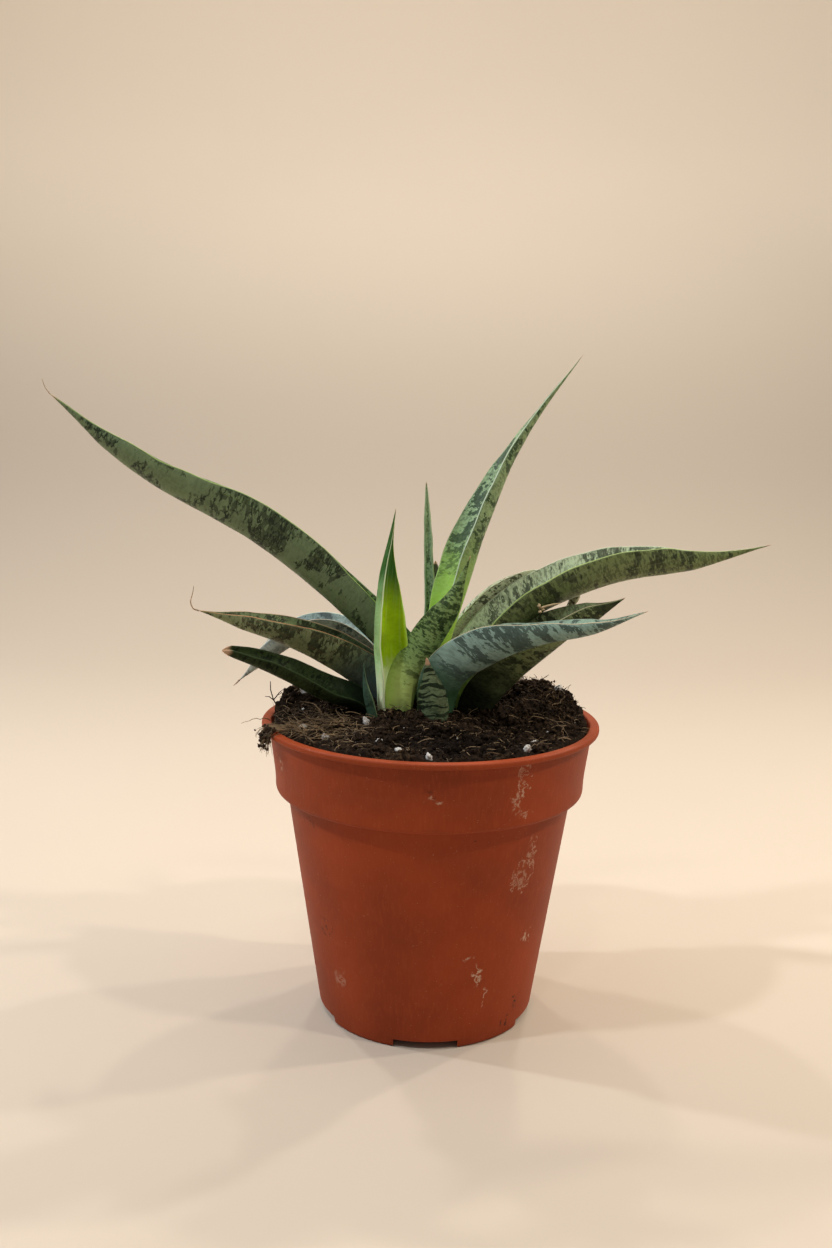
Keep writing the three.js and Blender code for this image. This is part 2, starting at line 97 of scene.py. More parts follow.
# Each leaf: its mid-rib, the rows of its section's width and depth and of the channel's
# roll, all evenly spread from base to tip, its thickness, the way that its channel opens,
# and the length of its tapered tip as a part of the whole.
LEAVES = {
    "leaf_front_stub": dict(
        thick=4.2, faces=90, tip=0.05, look="stub",
        path=((2.5, -19, 99), (1, -20, 110), (0, -20.5, 121), (-2, -21, 133)),
        width=(7, 9, 10.5, 2.5), depth=(3, 5, 4, 1), roll=(0, 0, 0)),
    "leaf_centre_curved": dict(
        thick=3.4, faces=125, tip=0.06, look="curved",
        path=((-11, -12, 98), (-8, -12, 120), (-1, -11, 134), (7, -10, 149),
              (12.5, -9, 166.5)),
        width=(9, 10, 10, 8, 2), depth=(3, 6, 7, 4, 1), roll=(0, 0, 0)),
    "leaf_young_bright": dict(
        thick=2.8, faces=-20, tip=0.06, look="young",
        path=((-15.5, -9, 98), (-16.5, -9, 122), (-17.5, -8, 140), (-17, -6, 160),
              (-13.5, -4, 182)),
        width=(9, 12, 11, 7, 1.2), depth=(3, 6, 6, 3, 0.8), roll=(-15, -30, 10)),
    "leaf_pup_front": dict(
        thick=1.8, faces=10, tip=0.1, look="pup",
        path=((-18, -17, 101), (-22.5, -18, 119), (-23.5, -19, 130.5)),
        width=(4.5, 3.5, 1), depth=(1.5, 1.5, 0.5), roll=(0, 0, 0)),
    "leaf_pup_back": dict(
        thick=1.6, faces=-20, tip=0.1, look="pup",
        path=((-22.5, -12.5, 103), (-21.8, -13.5, 114), (-22.5, -14.5, 123.5)),
        width=(3.6, 3.6, 1.2), depth=(1.2, 1.2, 0.4), roll=(0, 0, 0)),
    "leaf_left_low": dict(
        thick=3.6, faces=0, tip=0.025, look="dark_left",
        path=((-20, -7, 100), (-24.5, -10, 113), (-37.5, -14, 118.5),
              (-52.5, -20, 127.5), (-70, -28, 135.5)),
        width=(9, 10, 10.5, 7.5, 2.5), depth=(2, 3, 4.5, 4, 1.5), roll=(0, 0, 0)),
    "leaf_front_right": dict(
        thick=3.4, faces=180, tip=0.05, look="blue",
        path=((5, -8, 98), (8, -12, 120.5), (20, -17, 132), (36.5, -22, 140),
              (55, -26, 145), (70.5, -29, 151.5)),
        width=(10, 13.5, 13, 9.5, 6, 1.5), depth=(3, 11, 11, 5.5, 2.5, 0.5),
        roll=(-20, -30, -10)),
    "leaf_low_right": dict(
        thick=3.4, faces=180, tip=0.06, look="dark_right",
        path=((12, -1, 98), (26, 2, 118), (45, 2, 135.8), (67.5, -2, 152)),
        width=(10, 17, 15, 1.5), depth=(3, 12, 9, 0.5), roll=(-40, 20, -10)),
    "leaf_left_channelled": dict(
        thick=3.4, faces=0, tip=0.05, look="olive",
        path=((-13, 6, 100), (-23.5, 5, 116), (-39.5, 1, 128), (-56, -5, 137),
              (-80.5, -13, 146.5)),
        width=(9, 13, 15, 12, 1.5), depth=(4, 11, 10, 6, 0.5), roll=(10, 10, 10)),
    "leaf_long_left": dict(
        thick=3.6, faces=0, tip=0.04, look="long_left",
        path=((-6, 6, 100), (-11, 6, 123), (-32, 3, 146), (-62, -4, 171),
              (-98.5, -12, 193), (-127, -20, 218.5)),
        width=(9, 13, 17, 16.5, 14, 1.5), depth=(2, 8, 10, 11, 6, 0.5),
        roll=(-30, 10, 10)),
    "leaf_arching_right": dict(
        thick=3.4, faces=180, tip=0.04, look="arching",
        path=((8, 3, 98), (11, 4, 115.5), (20, 6, 130.5), (38, 10, 145.5),
              (66, 16, 156.5), (97, 21, 161.5), (125.5, 25, 169)),
        width=(8, 12, 15, 15, 13.5, 8.5, 1.5), depth=(2, 6, 9, 10.5, 10, 6, 0.5),
        roll=(25, 20, 0)),
    "leaf_tall_right": dict(
        thick=3.2, faces=180, tip=0.04, look="tall",
        path=((1, 9, 98), (4, 9, 129.5), (10, 10, 151.5), (17, 11, 174.5),
              (30, 13, 205.5), (51.5, 15, 236)),
        width=(8, 11.5, 16, 17, 9, 1.5), depth=(1, 4, 7, 6, 2, 0.5),
        roll=(20, 20, -5)),
    "leaf_behind_right": dict(
        thick=3.0, faces=180, tip=0.05, look="brownish",
        path=((9, 13, 98), (6.5, 17, 125), (19.5, 19, 145), (36, 22, 154),
              (52, 24, 150), (48.5, 24, 140)),
        width=(8, 10, 13, 12, 6, 2), depth=(1.5, 3.5, 4, 3.5, 1.5, 0.5),
        roll=(0, 0, 0)),
    "leaf_left_drooping": dict(
        thick=3.0, faces=0, tip=0.05, look="drooping",
        path=((-12, 16, 100), (-17, 20, 116), (-30, 20, 130), (-43, 18, 134),
              (-56.5, 15, 127.5), (-70.5, 13, 116.5)),
        width=(8, 11, 13, 12, 8, 1.5), depth=(2, 5, 6, 6, 5, 0.5),
        roll=(-15, -5, 10)),
    "leaf_back_narrow": dict(
        thick=2.6, faces=270, tip=0.08, look="narrow",
        path=((-1, 16, 100), (-0.5, 17, 132), (-1.5, 18, 161.5), (-3, 19, 190)),
        width=(5, 4, 2.5, 1.2), depth=(1.5, 1.5, 1, 0.5), roll=(0, 0, 0)),
    "leaf_back_short": dict(
        thick=2.2, faces=270, tip=0.04, look="withered",
        path=((4, 22, 100), (3, 22.5, 130), (1.5, 23, 152), (1, 22.5, 161)),
        width=(5, 4.5, 3, 1.6), depth=(1.8, 1.5, 1, 0.6), roll=(0, 0, 0)),
}

# Finish of each kind of leaf: colours are linear. base is the colour near the soil and
# base_ends the part of the leaf where it has faded out. cover raises the share of the
# surface that is banded, spacing is in millimetres and slant leans the bands over. net is
# how much the bands are a net of lines, and grain the size of their specks in millimetres.
# point is the part of the leaf that narrows to its tip, and sharp the curve it follows.
PALE_LINE = (0.55, 0.60, 0.42)
GREEN_LINE = (0.30, 0.42, 0.09)
RUST_LINE = (0.42, 0.20, 0.09)
DRY = (0.42, 0.27, 0.16)
LOOKS = {
    "long_left": dict(
        slot="leaf_green", outer=(0.138, 0.194, 0.098), inner=(0.100, 0.180, 0.050),
        band=(0.005, 0.011, 0.005), base=(0.024, 0.080, 0.010), base_ends=0.30,
        minus=GREEN_LINE, plus=(0.10, 0.16, 0.06), cover=0.50, spacing=16, slant=0.35,
        net=1.0, mottle=0.16, grain=1.10),
    "olive": dict(
        slot="leaf_green", outer=(0.200, 0.235, 0.115), inner=(0.180, 0.235, 0.105),
        band=(0.006, 0.009, 0.005), base=(0.070, 0.110, 0.120), base_ends=0.50,
        minus=RUST_LINE, plus=RUST_LINE, cover=0.53, spacing=10, slant=0.3,
        net=0.90, mottle=0.34, grain=0.9, gloss=0.14),
    "dark_left": dict(
        slot="leaf_dark", outer=(0.024, 0.036, 0.012), inner=(0.024, 0.038, 0.012),
        band=(0.004, 0.008, 0.003), base=(0.005, 0.009, 0.005), base_ends=0.60,
        minus=(0.024, 0.038, 0.014), plus=(0.024, 0.038, 0.014), cover=0.50, spacing=12,
        slant=0.2, net=0.2, mottle=0.45, point=0.03, sharp=0.5, dry_from=0.972, gloss=0.05),
    "drooping": dict(
        slot="leaf_blue", outer=(0.420, 0.480, 0.430), inner=(0.340, 0.460, 0.480),
        band=(0.045, 0.065, 0.080), base=(0.040, 0.085, 0.140), base_ends=0.40,
        minus=(0.60, 0.56, 0.44), plus=PALE_LINE, cover=0.47, spacing=8, slant=0.2,
        net=0.5, mottle=0.35, margin=0.26),
    "young": dict(
        slot="leaf_young", outer=(0.360, 0.580, 0.230), inner=(0.295, 0.465, 0.001),
        band=(0.020, 0.090, 0.004), base=(0.860, 0.940, 0.600), base_ends=0.40,
        minus=(0.55, 0.66, 0.44), plus=(0.36, 0.54, 0.08), cover=0.12, spacing=16,
        slant=0.0, top=(0.022, 0.085, 0.006), top_starts=0.55, mottle=0.10, point=0.30,
        sharp=0.8, gloss=0.12),
    "curved": dict(
        slot="leaf_green", outer=(0.150, 0.225, 0.075), inner=(0.180, 0.290, 0.100),
        band=(0.008, 0.022, 0.004), base=(0.490, 0.620, 0.180), base_ends=0.46,
        minus=(0.30, 0.42, 0.12), plus=(0.48, 0.58, 0.34), cover=0.49, spacing=9,
        slant=0.1, net=0.2, mottle=0.80, grain=0.9, point=0.30, sharp=0.85, gloss=0.14),
    "pup": dict(
        slot="leaf_green", outer=(0.040, 0.080, 0.050), inner=(0.055, 0.100, 0.060),
        band=(0.010, 0.022, 0.012), base=(0.050, 0.110, 0.040), base_ends=0.35,
        minus=(0.20, 0.28, 0.14), plus=(0.34, 0.42, 0.24), cover=0.46, spacing=6,
        slant=0.2, point=0.5, sharp=0.9, gloss=0.12),
    "stub": dict(
        slot="leaf_green", outer=(0.125, 0.165, 0.085), inner=(0.125, 0.165, 0.085),
        band=(0.004, 0.009, 0.004), base=(0.012, 0.028, 0.022), base_ends=0.50,
        minus=(0.12, 0.16, 0.08), plus=(0.12, 0.16, 0.08), cover=0.52, spacing=2.3,
        slant=0.0, dry_from=0.93, chevron=0.45, net=0.0, mottle=0.40, rings=1.0,
        point=0.55, sharp=0.55, gloss=0.08),
    "narrow": dict(
        slot="leaf_green", outer=(0.280, 0.400, 0.210), inner=(0.280, 0.400, 0.210),
        band=(0.030, 0.055, 0.022), base=(0.130, 0.260, 0.050), base_ends=0.40,
        minus=(0.26, 0.36, 0.20), plus=(0.34, 0.44, 0.26), cover=0.48, spacing=9,
        slant=0.1, net=0.3, mottle=0.50),
    "withered": dict(
        slot="leaf_green", outer=(0.100, 0.105, 0.060), inner=(0.090, 0.095, 0.055),
        band=(0.030, 0.032, 0.020), base=(0.110, 0.160, 0.050), base_ends=0.45,
        minus=(0.16, 0.14, 0.08), plus=(0.16, 0.14, 0.08), cover=0.50, spacing=6, slant=0.1,
        dry_from=0.95, mottle=0.55),
    "tall": dict(
        slot="leaf_green", outer=(0.225, 0.305, 0.145), inner=(0.290, 0.410, 0.215),
        band=(0.012, 0.034, 0.012), base=(0.420, 0.680, 0.080), base_ends=0.62,
        minus=(0.26, 0.36, 0.16), plus=(0.50, 0.60, 0.44), cover=0.48, spacing=13,
        slant=-0.4, net=0.25, mottle=0.45, point=0.26, sharp=0.75),
    "arching": dict(
        slot="leaf_green", outer=(0.150, 0.195, 0.070), inner=(0.480, 0.570, 0.380),
        band=(0.007, 0.012, 0.004), base=(0.120, 0.220, 0.030), base_ends=0.36,
        minus=(0.46, 0.52, 0.36), plus=GREEN_LINE, cover=0.50, spacing=11, slant=0.4,
        net=0.6, mottle=0.50, point=0.22, sharp=0.8),
    "brownish": dict(
        slot="leaf_green", outer=(0.480, 0.530, 0.340), inner=(0.520, 0.580, 0.380),
        band=(0.028, 0.034, 0.016), base=(0.400, 0.480, 0.240), base_ends=0.30,
        minus=(0.50, 0.44, 0.26), plus=(0.56, 0.58, 0.40), cover=0.49, spacing=5,
        slant=0.2, net=0.2, mottle=0.42),
    "dark_right": dict(
        slot="leaf_dark", outer=(0.150, 0.185, 0.080), inner=(0.170, 0.205, 0.095),
        # The near-black base of this leaf is painted shade, where the leaves above shade its lower part
        band=(0.006, 0.009, 0.004), base=(0.004, 0.006, 0.003), base_ends=0.50,
        minus=(0.05, 0.06, 0.03), plus=(0.34, 0.30, 0.18), cover=0.52, spacing=9,
        slant=0.3, net=0.5, mottle=0.50, gloss=0.07),
    "blue": dict(
        slot="leaf_blue", outer=(0.240, 0.360, 0.300), inner=(0.240, 0.340, 0.250),
        # The dark green base of this leaf is painted shade, where the leaves in front shade it
        band=(0.004, 0.010, 0.008), base=(0.014, 0.070, 0.010), base_ends=0.34,
        minus=(0.16, 0.20, 0.13), plus=(0.46, 0.36, 0.22), cover=0.53, spacing=6,
        slant=0.7, net=0.8, mottle=0.22, grain=0.9, point=0.22, sharp=0.8),
}

# The camera that sees the plant as in the reference view: place in millimetres, angles
# in degrees
CAMERA = {
    "place": (-5.8, -420.0, 211.8), "pitch": 9.57, "roll": 1.07,
    "focal_px": 1203, "image_height_px": 1248, "sensor_mm": 36.0,
}

# Soft lamps: azimuth in degrees from +X, height and distance in metres, size, watts, warmth
LAMPS = (
    ("lamp_right", 5, 0.80, 0.90, 0.05, 3.5, 0.30),
    ("lamp_right_back", 32, 0.85, 0.85, 0.05, 3.0, 0.20),
    ("lamp_back_right", 62, 1.00, 0.70, 0.06, 2.3, 0.10),
    ("lamp_back", 98, 1.10, 0.70, 0.07, 2.0, 0.00),
    ("lamp_back_left", 135, 0.95, 0.75, 0.06, 2.5, -0.10),
    ("lamp_left", 172, 0.80, 0.90, 0.05, 3.8, -0.50),
    ("lamp_front_left", 212, 1.05, 0.80, 0.07, 4.0, -0.50),
    ("lamp_front", 262, 1.30, 0.85, 0.09, 1.4, 0.00),
    ("lamp_front_right", 328, 1.05, 0.80, 0.07, 3.6, 0.30),
)
# A wide lamp above the plant that faces the wall: place and aim in metres
WALL_LAMP = {"place": (0.0, 0.1, 2.3), "aim": (0.0, 1.5, 1.7), "size": 2.0, "watts": 15.5}


# Settings

class PlantPotSettings(bpy.types.PropertyGroup):
    """Sizes and colour of the pot."""
    height: FloatProperty(
        name="Height", description="From the foot to the top of the rim",
        default=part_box("pot")[1].z, unit="LENGTH")
    rim_radius: FloatProperty(
        name="Rim radius", description="Outer edge of the rim's lip",
        default=0.060, unit="LENGTH")
    wall: FloatProperty(
        name="Wall", description="Thickness of the moulded wall", default=0.0017, unit="LENGTH")
    colour: FloatVectorProperty(
        name="Plastic", description="Colour of the plastic", subtype="COLOR", size=3,
        default=(0.300, 0.045, 0.010))
    sides: IntProperty(name="Sides", description="Steps round the pot", default=192)


class PlantSoilSettings(bpy.types.PropertyGroup):
    """How the soil looks."""
    colour: FloatVectorProperty(
        name="Peat", description="Colour of the peat", subtype="COLOR", size=3,
        default=(0.024, 0.014, 0.008))
    fibre_colour: FloatVectorProperty(
        name="Fibre", description="Colour of the dry fibres", subtype="COLOR", size=3,
        default=(0.240, 0.155, 0.075))
    fine_crumbs: IntProperty(name="Fine crumbs", description="How many", default=7800)
    coarse_crumbs: IntProperty(name="Coarse crumbs", description="How many", default=1500)
    fibres: IntProperty(name="Fibres", description="How many", default=2600)
    seed: IntProperty(name="Seed", description="Fixes every random draw", default=11)


class PlantLeafSettings(bpy.types.PropertyGroup):
    """How finely the leaves are made, and how uneven they are."""
    sections: IntProperty(name="Sections", description="Sections along a leaf", default=110)
    across: IntProperty(name="Across", description="Points across one face", default=20)
    wave: FloatProperty(
        name="Wave", description="Unevenness of a leaf's margins", default=0.00022,
        unit="LENGTH")
    roughness: FloatProperty(
        name="Roughness", description="Of the waxy skin", default=0.46, subtype="FACTOR")


class PlantStageSettings(bpy.types.PropertyGroup):
    """Floor, backdrop and light."""
    floor_colour: FloatVectorProperty(
        name="Floor", description="Colour of the backdrop's floor", subtype="COLOR",
        size=3, default=(0.545, 0.460, 0.368))
    # The wall's colour is paler than the floor's as painted light
    wall_colour: FloatVectorProperty(
        name="Wall", description="Colour at the top of the wall", subtype="COLOR",
        size=3, default=(0.92, 0.785, 0.625))
    light: FloatProperty(name="Light", description="Strength of all lamps", default=1.05)
    fill: FloatProperty(name="Fill", description="Strength of the light all round", default=0.25)


# Node helpers

class Nodes:
    """Adds nodes to a tree. An input may be a plain value or another node's socket."""

    def __init__(self, tree):
        self.tree = tree
        tree.nodes.clear()

    def add(self, kind, inputs=None, **settings):
        node = self.tree.nodes.new(kind)
        for name, value in settings.items():
            setattr(node, name, value)
        for key, value in (inputs or {}).items():
            self.feed(node.inputs[key], value)
        return node

    def feed(self, socket, value):
        if isinstance(value, bpy.types.NodeSocket):
            self.tree.links.new(value, socket)
        else:
            socket.default_value = value

    def maths(self, operation, *values, clamp=False):
        node = self.add("ShaderNodeMath", dict(enumerate(values)), operation=operation)
        node.use_clamp = clamp
        return node.outputs[0]

    def noise(self, vector, scale, detail=3.0, roughness=0.5):
        values = {"Vector": vector, "Scale": scale, "Detail": detail, "Roughness": roughness}
        return self.add("ShaderNodeTexNoise", values).outputs["Fac"]

    def mix(self, factor, first, second):
        node = self.add("ShaderNodeMix", data_type="RGBA")
        self.feed(node.inputs[0], factor)
        self.feed(node.inputs[6], rgba(first))
        self.feed(node.inputs[7], rgba(second))
        return node.outputs[2]

    def step(self, value, low, high):
        """0 below low and 1 above high, smooth between; turned round if low is above high."""
        node = self.add("ShaderNodeMapRange", interpolation_type="SMOOTHSTEP")
        for key, number in (("Value", value), ("From Min", low), ("From Max", high)):
            self.feed(node.inputs[key], number)
        return node.outputs["Result"]

    def join(self, x, y, z):
        return self.add("ShaderNodeCombineXYZ", {0: x, 1: y, 2: z}).outputs[0]

    def split(self, vector):
        return self.add("ShaderNodeSeparateXYZ", {0: vector}).outputs

    def stretch(self, vector, scale):
        node = self.add("ShaderNodeVectorMath", {0: vector, 1: scale}, operation="MULTIPLY")
        return node.outputs[0]

    def group(self, tree, values):
        node = self.add("ShaderNodeGroup", node_tree=tree)
        for key, value in values.items():
            self.feed(node.inputs[key], value)
        return node.outputs


def rgba(colour):
    """A colour with its alpha; a socket is passed on as it is."""
    if isinstance(colour, bpy.types.NodeSocket):
        return colour
    return (*colour[:3], 1.0)


def new_group(name, kind, inputs, outputs):
    """A node tree with named sockets, and the nodes at its two ends."""
    tree = bpy.data.node_groups.new(name, kind)
    for label, socket_type, value in inputs:
        socket = tree.interface.new_socket(label, in_out="INPUT", socket_type=socket_type)
        if value is not None:
            socket.default_value = value
    for label, socket_type in outputs:
        tree.interface.new_socket(label, in_out="OUTPUT", socket_type=socket_type)
    nodes = Nodes(tree)
    start = nodes.add("NodeGroupInput").outputs
    return tree, nodes, start, nodes.add("NodeGroupOutput")


def new_material(name):
    material = bpy.data.materials.new(name)
    material.use_nodes = True
    return material, Nodes(material.node_tree)


def finish_material(nodes, colour, roughness, height=None, bump=0.3, distance=0.0003, **fixed):
    """The shader itself, with the values that are the same all over on its own sockets."""
    shader = nodes.add("ShaderNodeBsdfPrincipled")
    nodes.feed(shader.inputs["Base Color"], rgba(colour))
    nodes.feed(shader.inputs["Roughness"], roughness)
    for name, value in fixed.items():
        shader.inputs[name.replace("_", " ")].default_value = value
    if height is not None:
        values = {"Height": height, "Strength": bump, "Distance": distance}
        normal = nodes.add("ShaderNodeBump", values).outputs["Normal"]
        nodes.feed(shader.inputs["Normal"], normal)
    nodes.add("ShaderNodeOutputMaterial", {"Surface": shader.outputs[0]})


# Shader groups that several materials share

def shared_group(name, maker):
    return bpy.data.node_groups.get(name) or maker(name)


def leaf_figure(name):
    """Cross-bands made of specks and of a fine dark net, mottling and lengthwise streaks."""
    tree, n, start, end = new_group(
        name, "ShaderNodeTree",
        [("Place", "NodeSocketVector", None), ("Spacing", "NodeSocketFloat", 12.0),
         ("Slant", "NodeSocketFloat", 0.3), ("Cover", "NodeSocketFloat", 0.5),
         ("Chevron", "NodeSocketFloat", 0.0), ("Grain", "NodeSocketFloat", 1.0),
         ("Net", "NodeSocketFloat", 0.5), ("Rings", "NodeSocketFloat", 0.0)],
        [("Bands", "NodeSocketFloat"), ("Mottle", "NodeSocketFloat"),
         ("Streaks", "NodeSocketFloat")])
    place, grain = start["Place"], start["Grain"]
    across, along, seed = n.split(place)
    lean = n.maths("MULTIPLY", across, start["Slant"])
    arrow = n.maths("MULTIPLY", n.maths("ABSOLUTE", across), start["Chevron"])
    leaning = n.maths("ADD", n.maths("ADD", along, lean), arrow)
    wander = n.maths("MULTIPLY", n.noise(place, 0.11, 2.0), 2.2)
    travel = n.maths("ADD", n.maths("DIVIDE", leaning, start["Spacing"]), wander)
    clusters = n.noise(n.join(n.maths("MULTIPLY", across, 0.05), travel, seed), 1.6, 1.5)
    clusters = n.maths("ADD", clusters, n.maths("SUBTRACT", start["Cover"], 0.5))
    slid = n.join(n.maths("DIVIDE", across, grain), n.maths("DIVIDE", leaning, grain), seed)
    specks = n.noise(n.stretch(slid, (0.58, 0.70, 1.0)), 1.0, 2.5, 0.62)
    contours = n.noise(n.stretch(slid, (0.26, 0.30, 1.0)), 1.0, 3.0, 0.64)
    line = n.step(n.maths("ABSOLUTE", n.maths("SUBTRACT", contours, 0.5)), 0.036, 0.022)
    clean = n.maths("MULTIPLY", start["Rings"], 0.34)
    value = n.maths("ADD", n.maths("MULTIPLY", clusters, n.maths("ADD", 0.52, clean)),
                    n.maths("MULTIPLY", specks, n.maths("SUBTRACT", 0.48, clean)))
    speckled = n.maths("MULTIPLY", n.step(value, 0.530, 0.546),
                       n.maths("SUBTRACT", 1.0, n.maths("MULTIPLY", start["Net"], 0.30)))
    net = n.maths("MULTIPLY", n.maths("MULTIPLY", line, n.step(clusters, 0.49, 0.54)),
                  start["Net"])
    n.feed(end.inputs["Bands"], n.maths("MAXIMUM", speckled, net))
    fine = n.noise(n.stretch(slid, (0.95, 1.05, 1.0)), 1.0, 2.0, 0.60)
    n.feed(end.inputs["Mottle"], n.step(fine, 0.46, 0.56))
    streaks = n.noise(n.stretch(place, (2.2, 0.06, 1.0)), 1.0, 4.0, 0.6)
    n.feed(end.inputs["Streaks"], streaks)
    return tree


def surface_mark(name):
    """Mask of one mark: a stretched patch about a centre, broken up by noise."""
    tree, n, start, end = new_group(
        name, "ShaderNodeTree",
        [("Centre", "NodeSocketVector", None), ("Size", "NodeSocketVector", None),
         ("Grain", "NodeSocketFloat", 900.0), ("Break Up", "NodeSocketFloat", 0.5),
         ("Hollow", "NodeSocketFloat", 0.0)],
        [("Mask", "NodeSocketFloat")])
    here = n.add("ShaderNodeTexCoord").outputs["Object"]
    offset = n.add("ShaderNodeVectorMath", {0: here, 1: start["Centre"]},
                   operation="SUBTRACT").outputs[0]
    wobble = n.add("ShaderNodeTexNoise", {"Vector": here, "Scale": 380.0, "Detail": 2.0})
    centred = n.add("ShaderNodeVectorMath", {0: wobble.outputs["Color"], 1: (0.5, 0.5, 0.5)},
                    operation="SUBTRACT").outputs[0]
    warped = n.add("ShaderNodeVectorMath", {0: offset, 1: n.stretch(centred, [0.009] * 3)},
                   operation="ADD").outputs[0]
    inside = n.add("ShaderNodeVectorMath", {0: warped, 1: start["Size"]},
                   operation="DIVIDE").outputs[0]
    reach = n.add("ShaderNodeVectorMath", {0: inside}, operation="LENGTH").outputs["Value"]
    middle = n.maths("MULTIPLY", n.step(reach, 0.85, 0.70), start["Hollow"])
    patch = n.maths("MULTIPLY", n.step(reach, 1.0, n.maths("ADD", 0.35, n.maths(
        "MULTIPLY", start["Hollow"], 0.55))), n.maths("SUBTRACT", 1.0, middle))
    broken = n.noise(here, start["Grain"], 5.0, 0.65)
    kept = n.step(broken, start["Break Up"], n.maths("ADD", start["Break Up"], 0.12))
    n.feed(end.inputs["Mask"], n.maths("MULTIPLY", patch, kept))
    return tree


def crumb_grain(name):
    """Rough fine grain for soil, crumbs and grains of perlite."""
    tree, n, start, end = new_group(
        name, "ShaderNodeTree",
        [("Scale", "NodeSocketFloat", 900.0), ("Patch Scale", "NodeSocketFloat", 85.0)],
        [("Grain", "NodeSocketFloat"), ("Patches", "NodeSocketFloat")])
    here = n.add("ShaderNodeTexCoord").outputs["Object"]
    n.feed(end.inputs["Grain"], n.noise(here, start["Scale"], 6.0, 0.7))
    n.feed(end.inputs["Patches"], n.noise(here, start["Patch Scale"], 3.0, 0.6))
    return tree


# Materials

POT_SCUFFS = (              # centre and half size in millimetres, strength, 1 for a loop
    ((29.5, -48.5, 99.5), (2.0, 5.0, 6.0), 0.50, 1),
    ((28.0, -47.8, 92.5), (1.6, 5.0, 7.0), 0.50, 0),
    ((29.0, -48.5, 98.5), (1.3, 5.0, 6.5), 0.35, 0),
    ((31.0, -45.8, 87.2), (3.2, 5.0, 1.1), 0.45, 0),
    ((31.3, -36.5, 62.5), (4.2, 8.0, 6.2), 0.40, 1),
    ((30.8, -36.9, 61.5), (3.2, 6.0, 4.8), 0.35, 0),
    ((34.6, -34.9, 71.0), (1.3, 5.0, 5.5), 0.40, 0),
    ((34.2, -28.0, 37.1), (1.2, 4.0, 2.8), 0.65, 0),
    ((16.8, -39.4, 28.0), (0.9, 4.0, 6.5), 0.75, 0),
    ((13.4, -41.8, 35.2), (2.6, 4.0, 1.1), 0.55, 0),
    ((19.8, -36.4, 19.0), (0.8, 4.0, 4.5), 0.70, 0),
    ((1.5, -56.0, 93.8), (3.2, 3.0, 1.0), 0.55, 0),
    ((-30.0, -30.0, 20.0), (3.0, 5.0, 5.0), 0.28, 0),
    ((-52.0, -24.0, 96.0), (1.6, 4.0, 4.0), 0.40, 0),
)
POT_DIRT = (
    ((31.4, -25.4, 13.0), (2.2, 6.0, 7.0), 1.0, 0),
    ((28.0, -28.0, 6.6), (5.5, 6.0, 2.4), 1.0, 0),
    ((13.3, -48.6, 78.1), (3.2, 3.0, 1.6), 0.85, 0),
    ((-35.0, -27.6, 38.0), (3.0, 5.0, 6.5), 0.85, 0),
    ((-1.4, -56.4, 97.7), (2.8, 3.0, 2.2), 0.85, 0),
    ((-0.5, -56.0, 94.5), (4.0, 3.0, 3.0), 0.45, 0),
    ((-40.0, -30.0, 78.0), (6.0, 6.0, 3.5), 0.55, 0),
)


def pot_material(settings):
    """Moulded plastic with a fine vertical grain, pale scuffs, specks of soil and a painted highlight
    along the top of the rim.
    """
    material, n = new_material("pot_plastic")
    here = n.add("ShaderNodeTexCoord").outputs["Object"]
    grain = n.noise(n.stretch(here, (1300, 1300, 160)), 1.0, 4.0, 0.6)
    cloud = n.noise(here, 26.0, 4.0, 0.55)
    speck = n.noise(here, 2100.0, 2.0, 0.5)
    base = tuple(settings.colour)
    darker = tuple(0.72 * part for part in base)
    lighter = (1.22 * base[0], 1.45 * base[1], 1.60 * base[2])
    colour = n.mix(n.step(cloud, 0.30, 0.72), darker, base)
    colour = n.mix(n.maths("MULTIPLY", n.step(grain, 0.45, 0.75), 0.32), colour, lighter)
    height = n.split(here)[2]
    # Painted highlight: the top of the rim's lip is made paler
    rim = n.step(height, 0.1046, 0.1052)
    colour = n.mix(n.maths("MULTIPLY", rim, 0.15), colour, lighter)
    mark = shared_group("Surface Mark", surface_mark)
    marks = ((POT_SCUFFS, (0.56, 0.40, 0.28), 700.0, 0.42),
             (POT_DIRT, (0.016, 0.010, 0.007), 520.0, 0.52))
    for table, tint, size, gaps in marks:
        for centre, half, strength, loop in table:
            values = {"Centre": [MM * c for c in centre], "Size": [MM * c for c in half],
                      "Grain": size, "Break Up": gaps, "Hollow": loop}
            mask = n.group(mark, values)["Mask"]
            colour = n.mix(n.maths("MULTIPLY", mask, strength), colour, tint)
    dust = n.maths("MULTIPLY", n.step(speck, 0.70, 0.76), 0.5)
    colour = n.mix(dust, colour, (0.50, 0.32, 0.20))
    roughness = n.maths("ADD", n.maths("MULTIPLY", cloud, 0.12), 0.50)
    height = n.maths("ADD", n.maths("MULTIPLY", grain, 0.6), n.maths("MULTIPLY", speck, 0.4))
    finish_material(n, colour, roughness, height, bump=0.16, distance=0.0002,
                    Specular_IOR_Level=0.16)
    return material


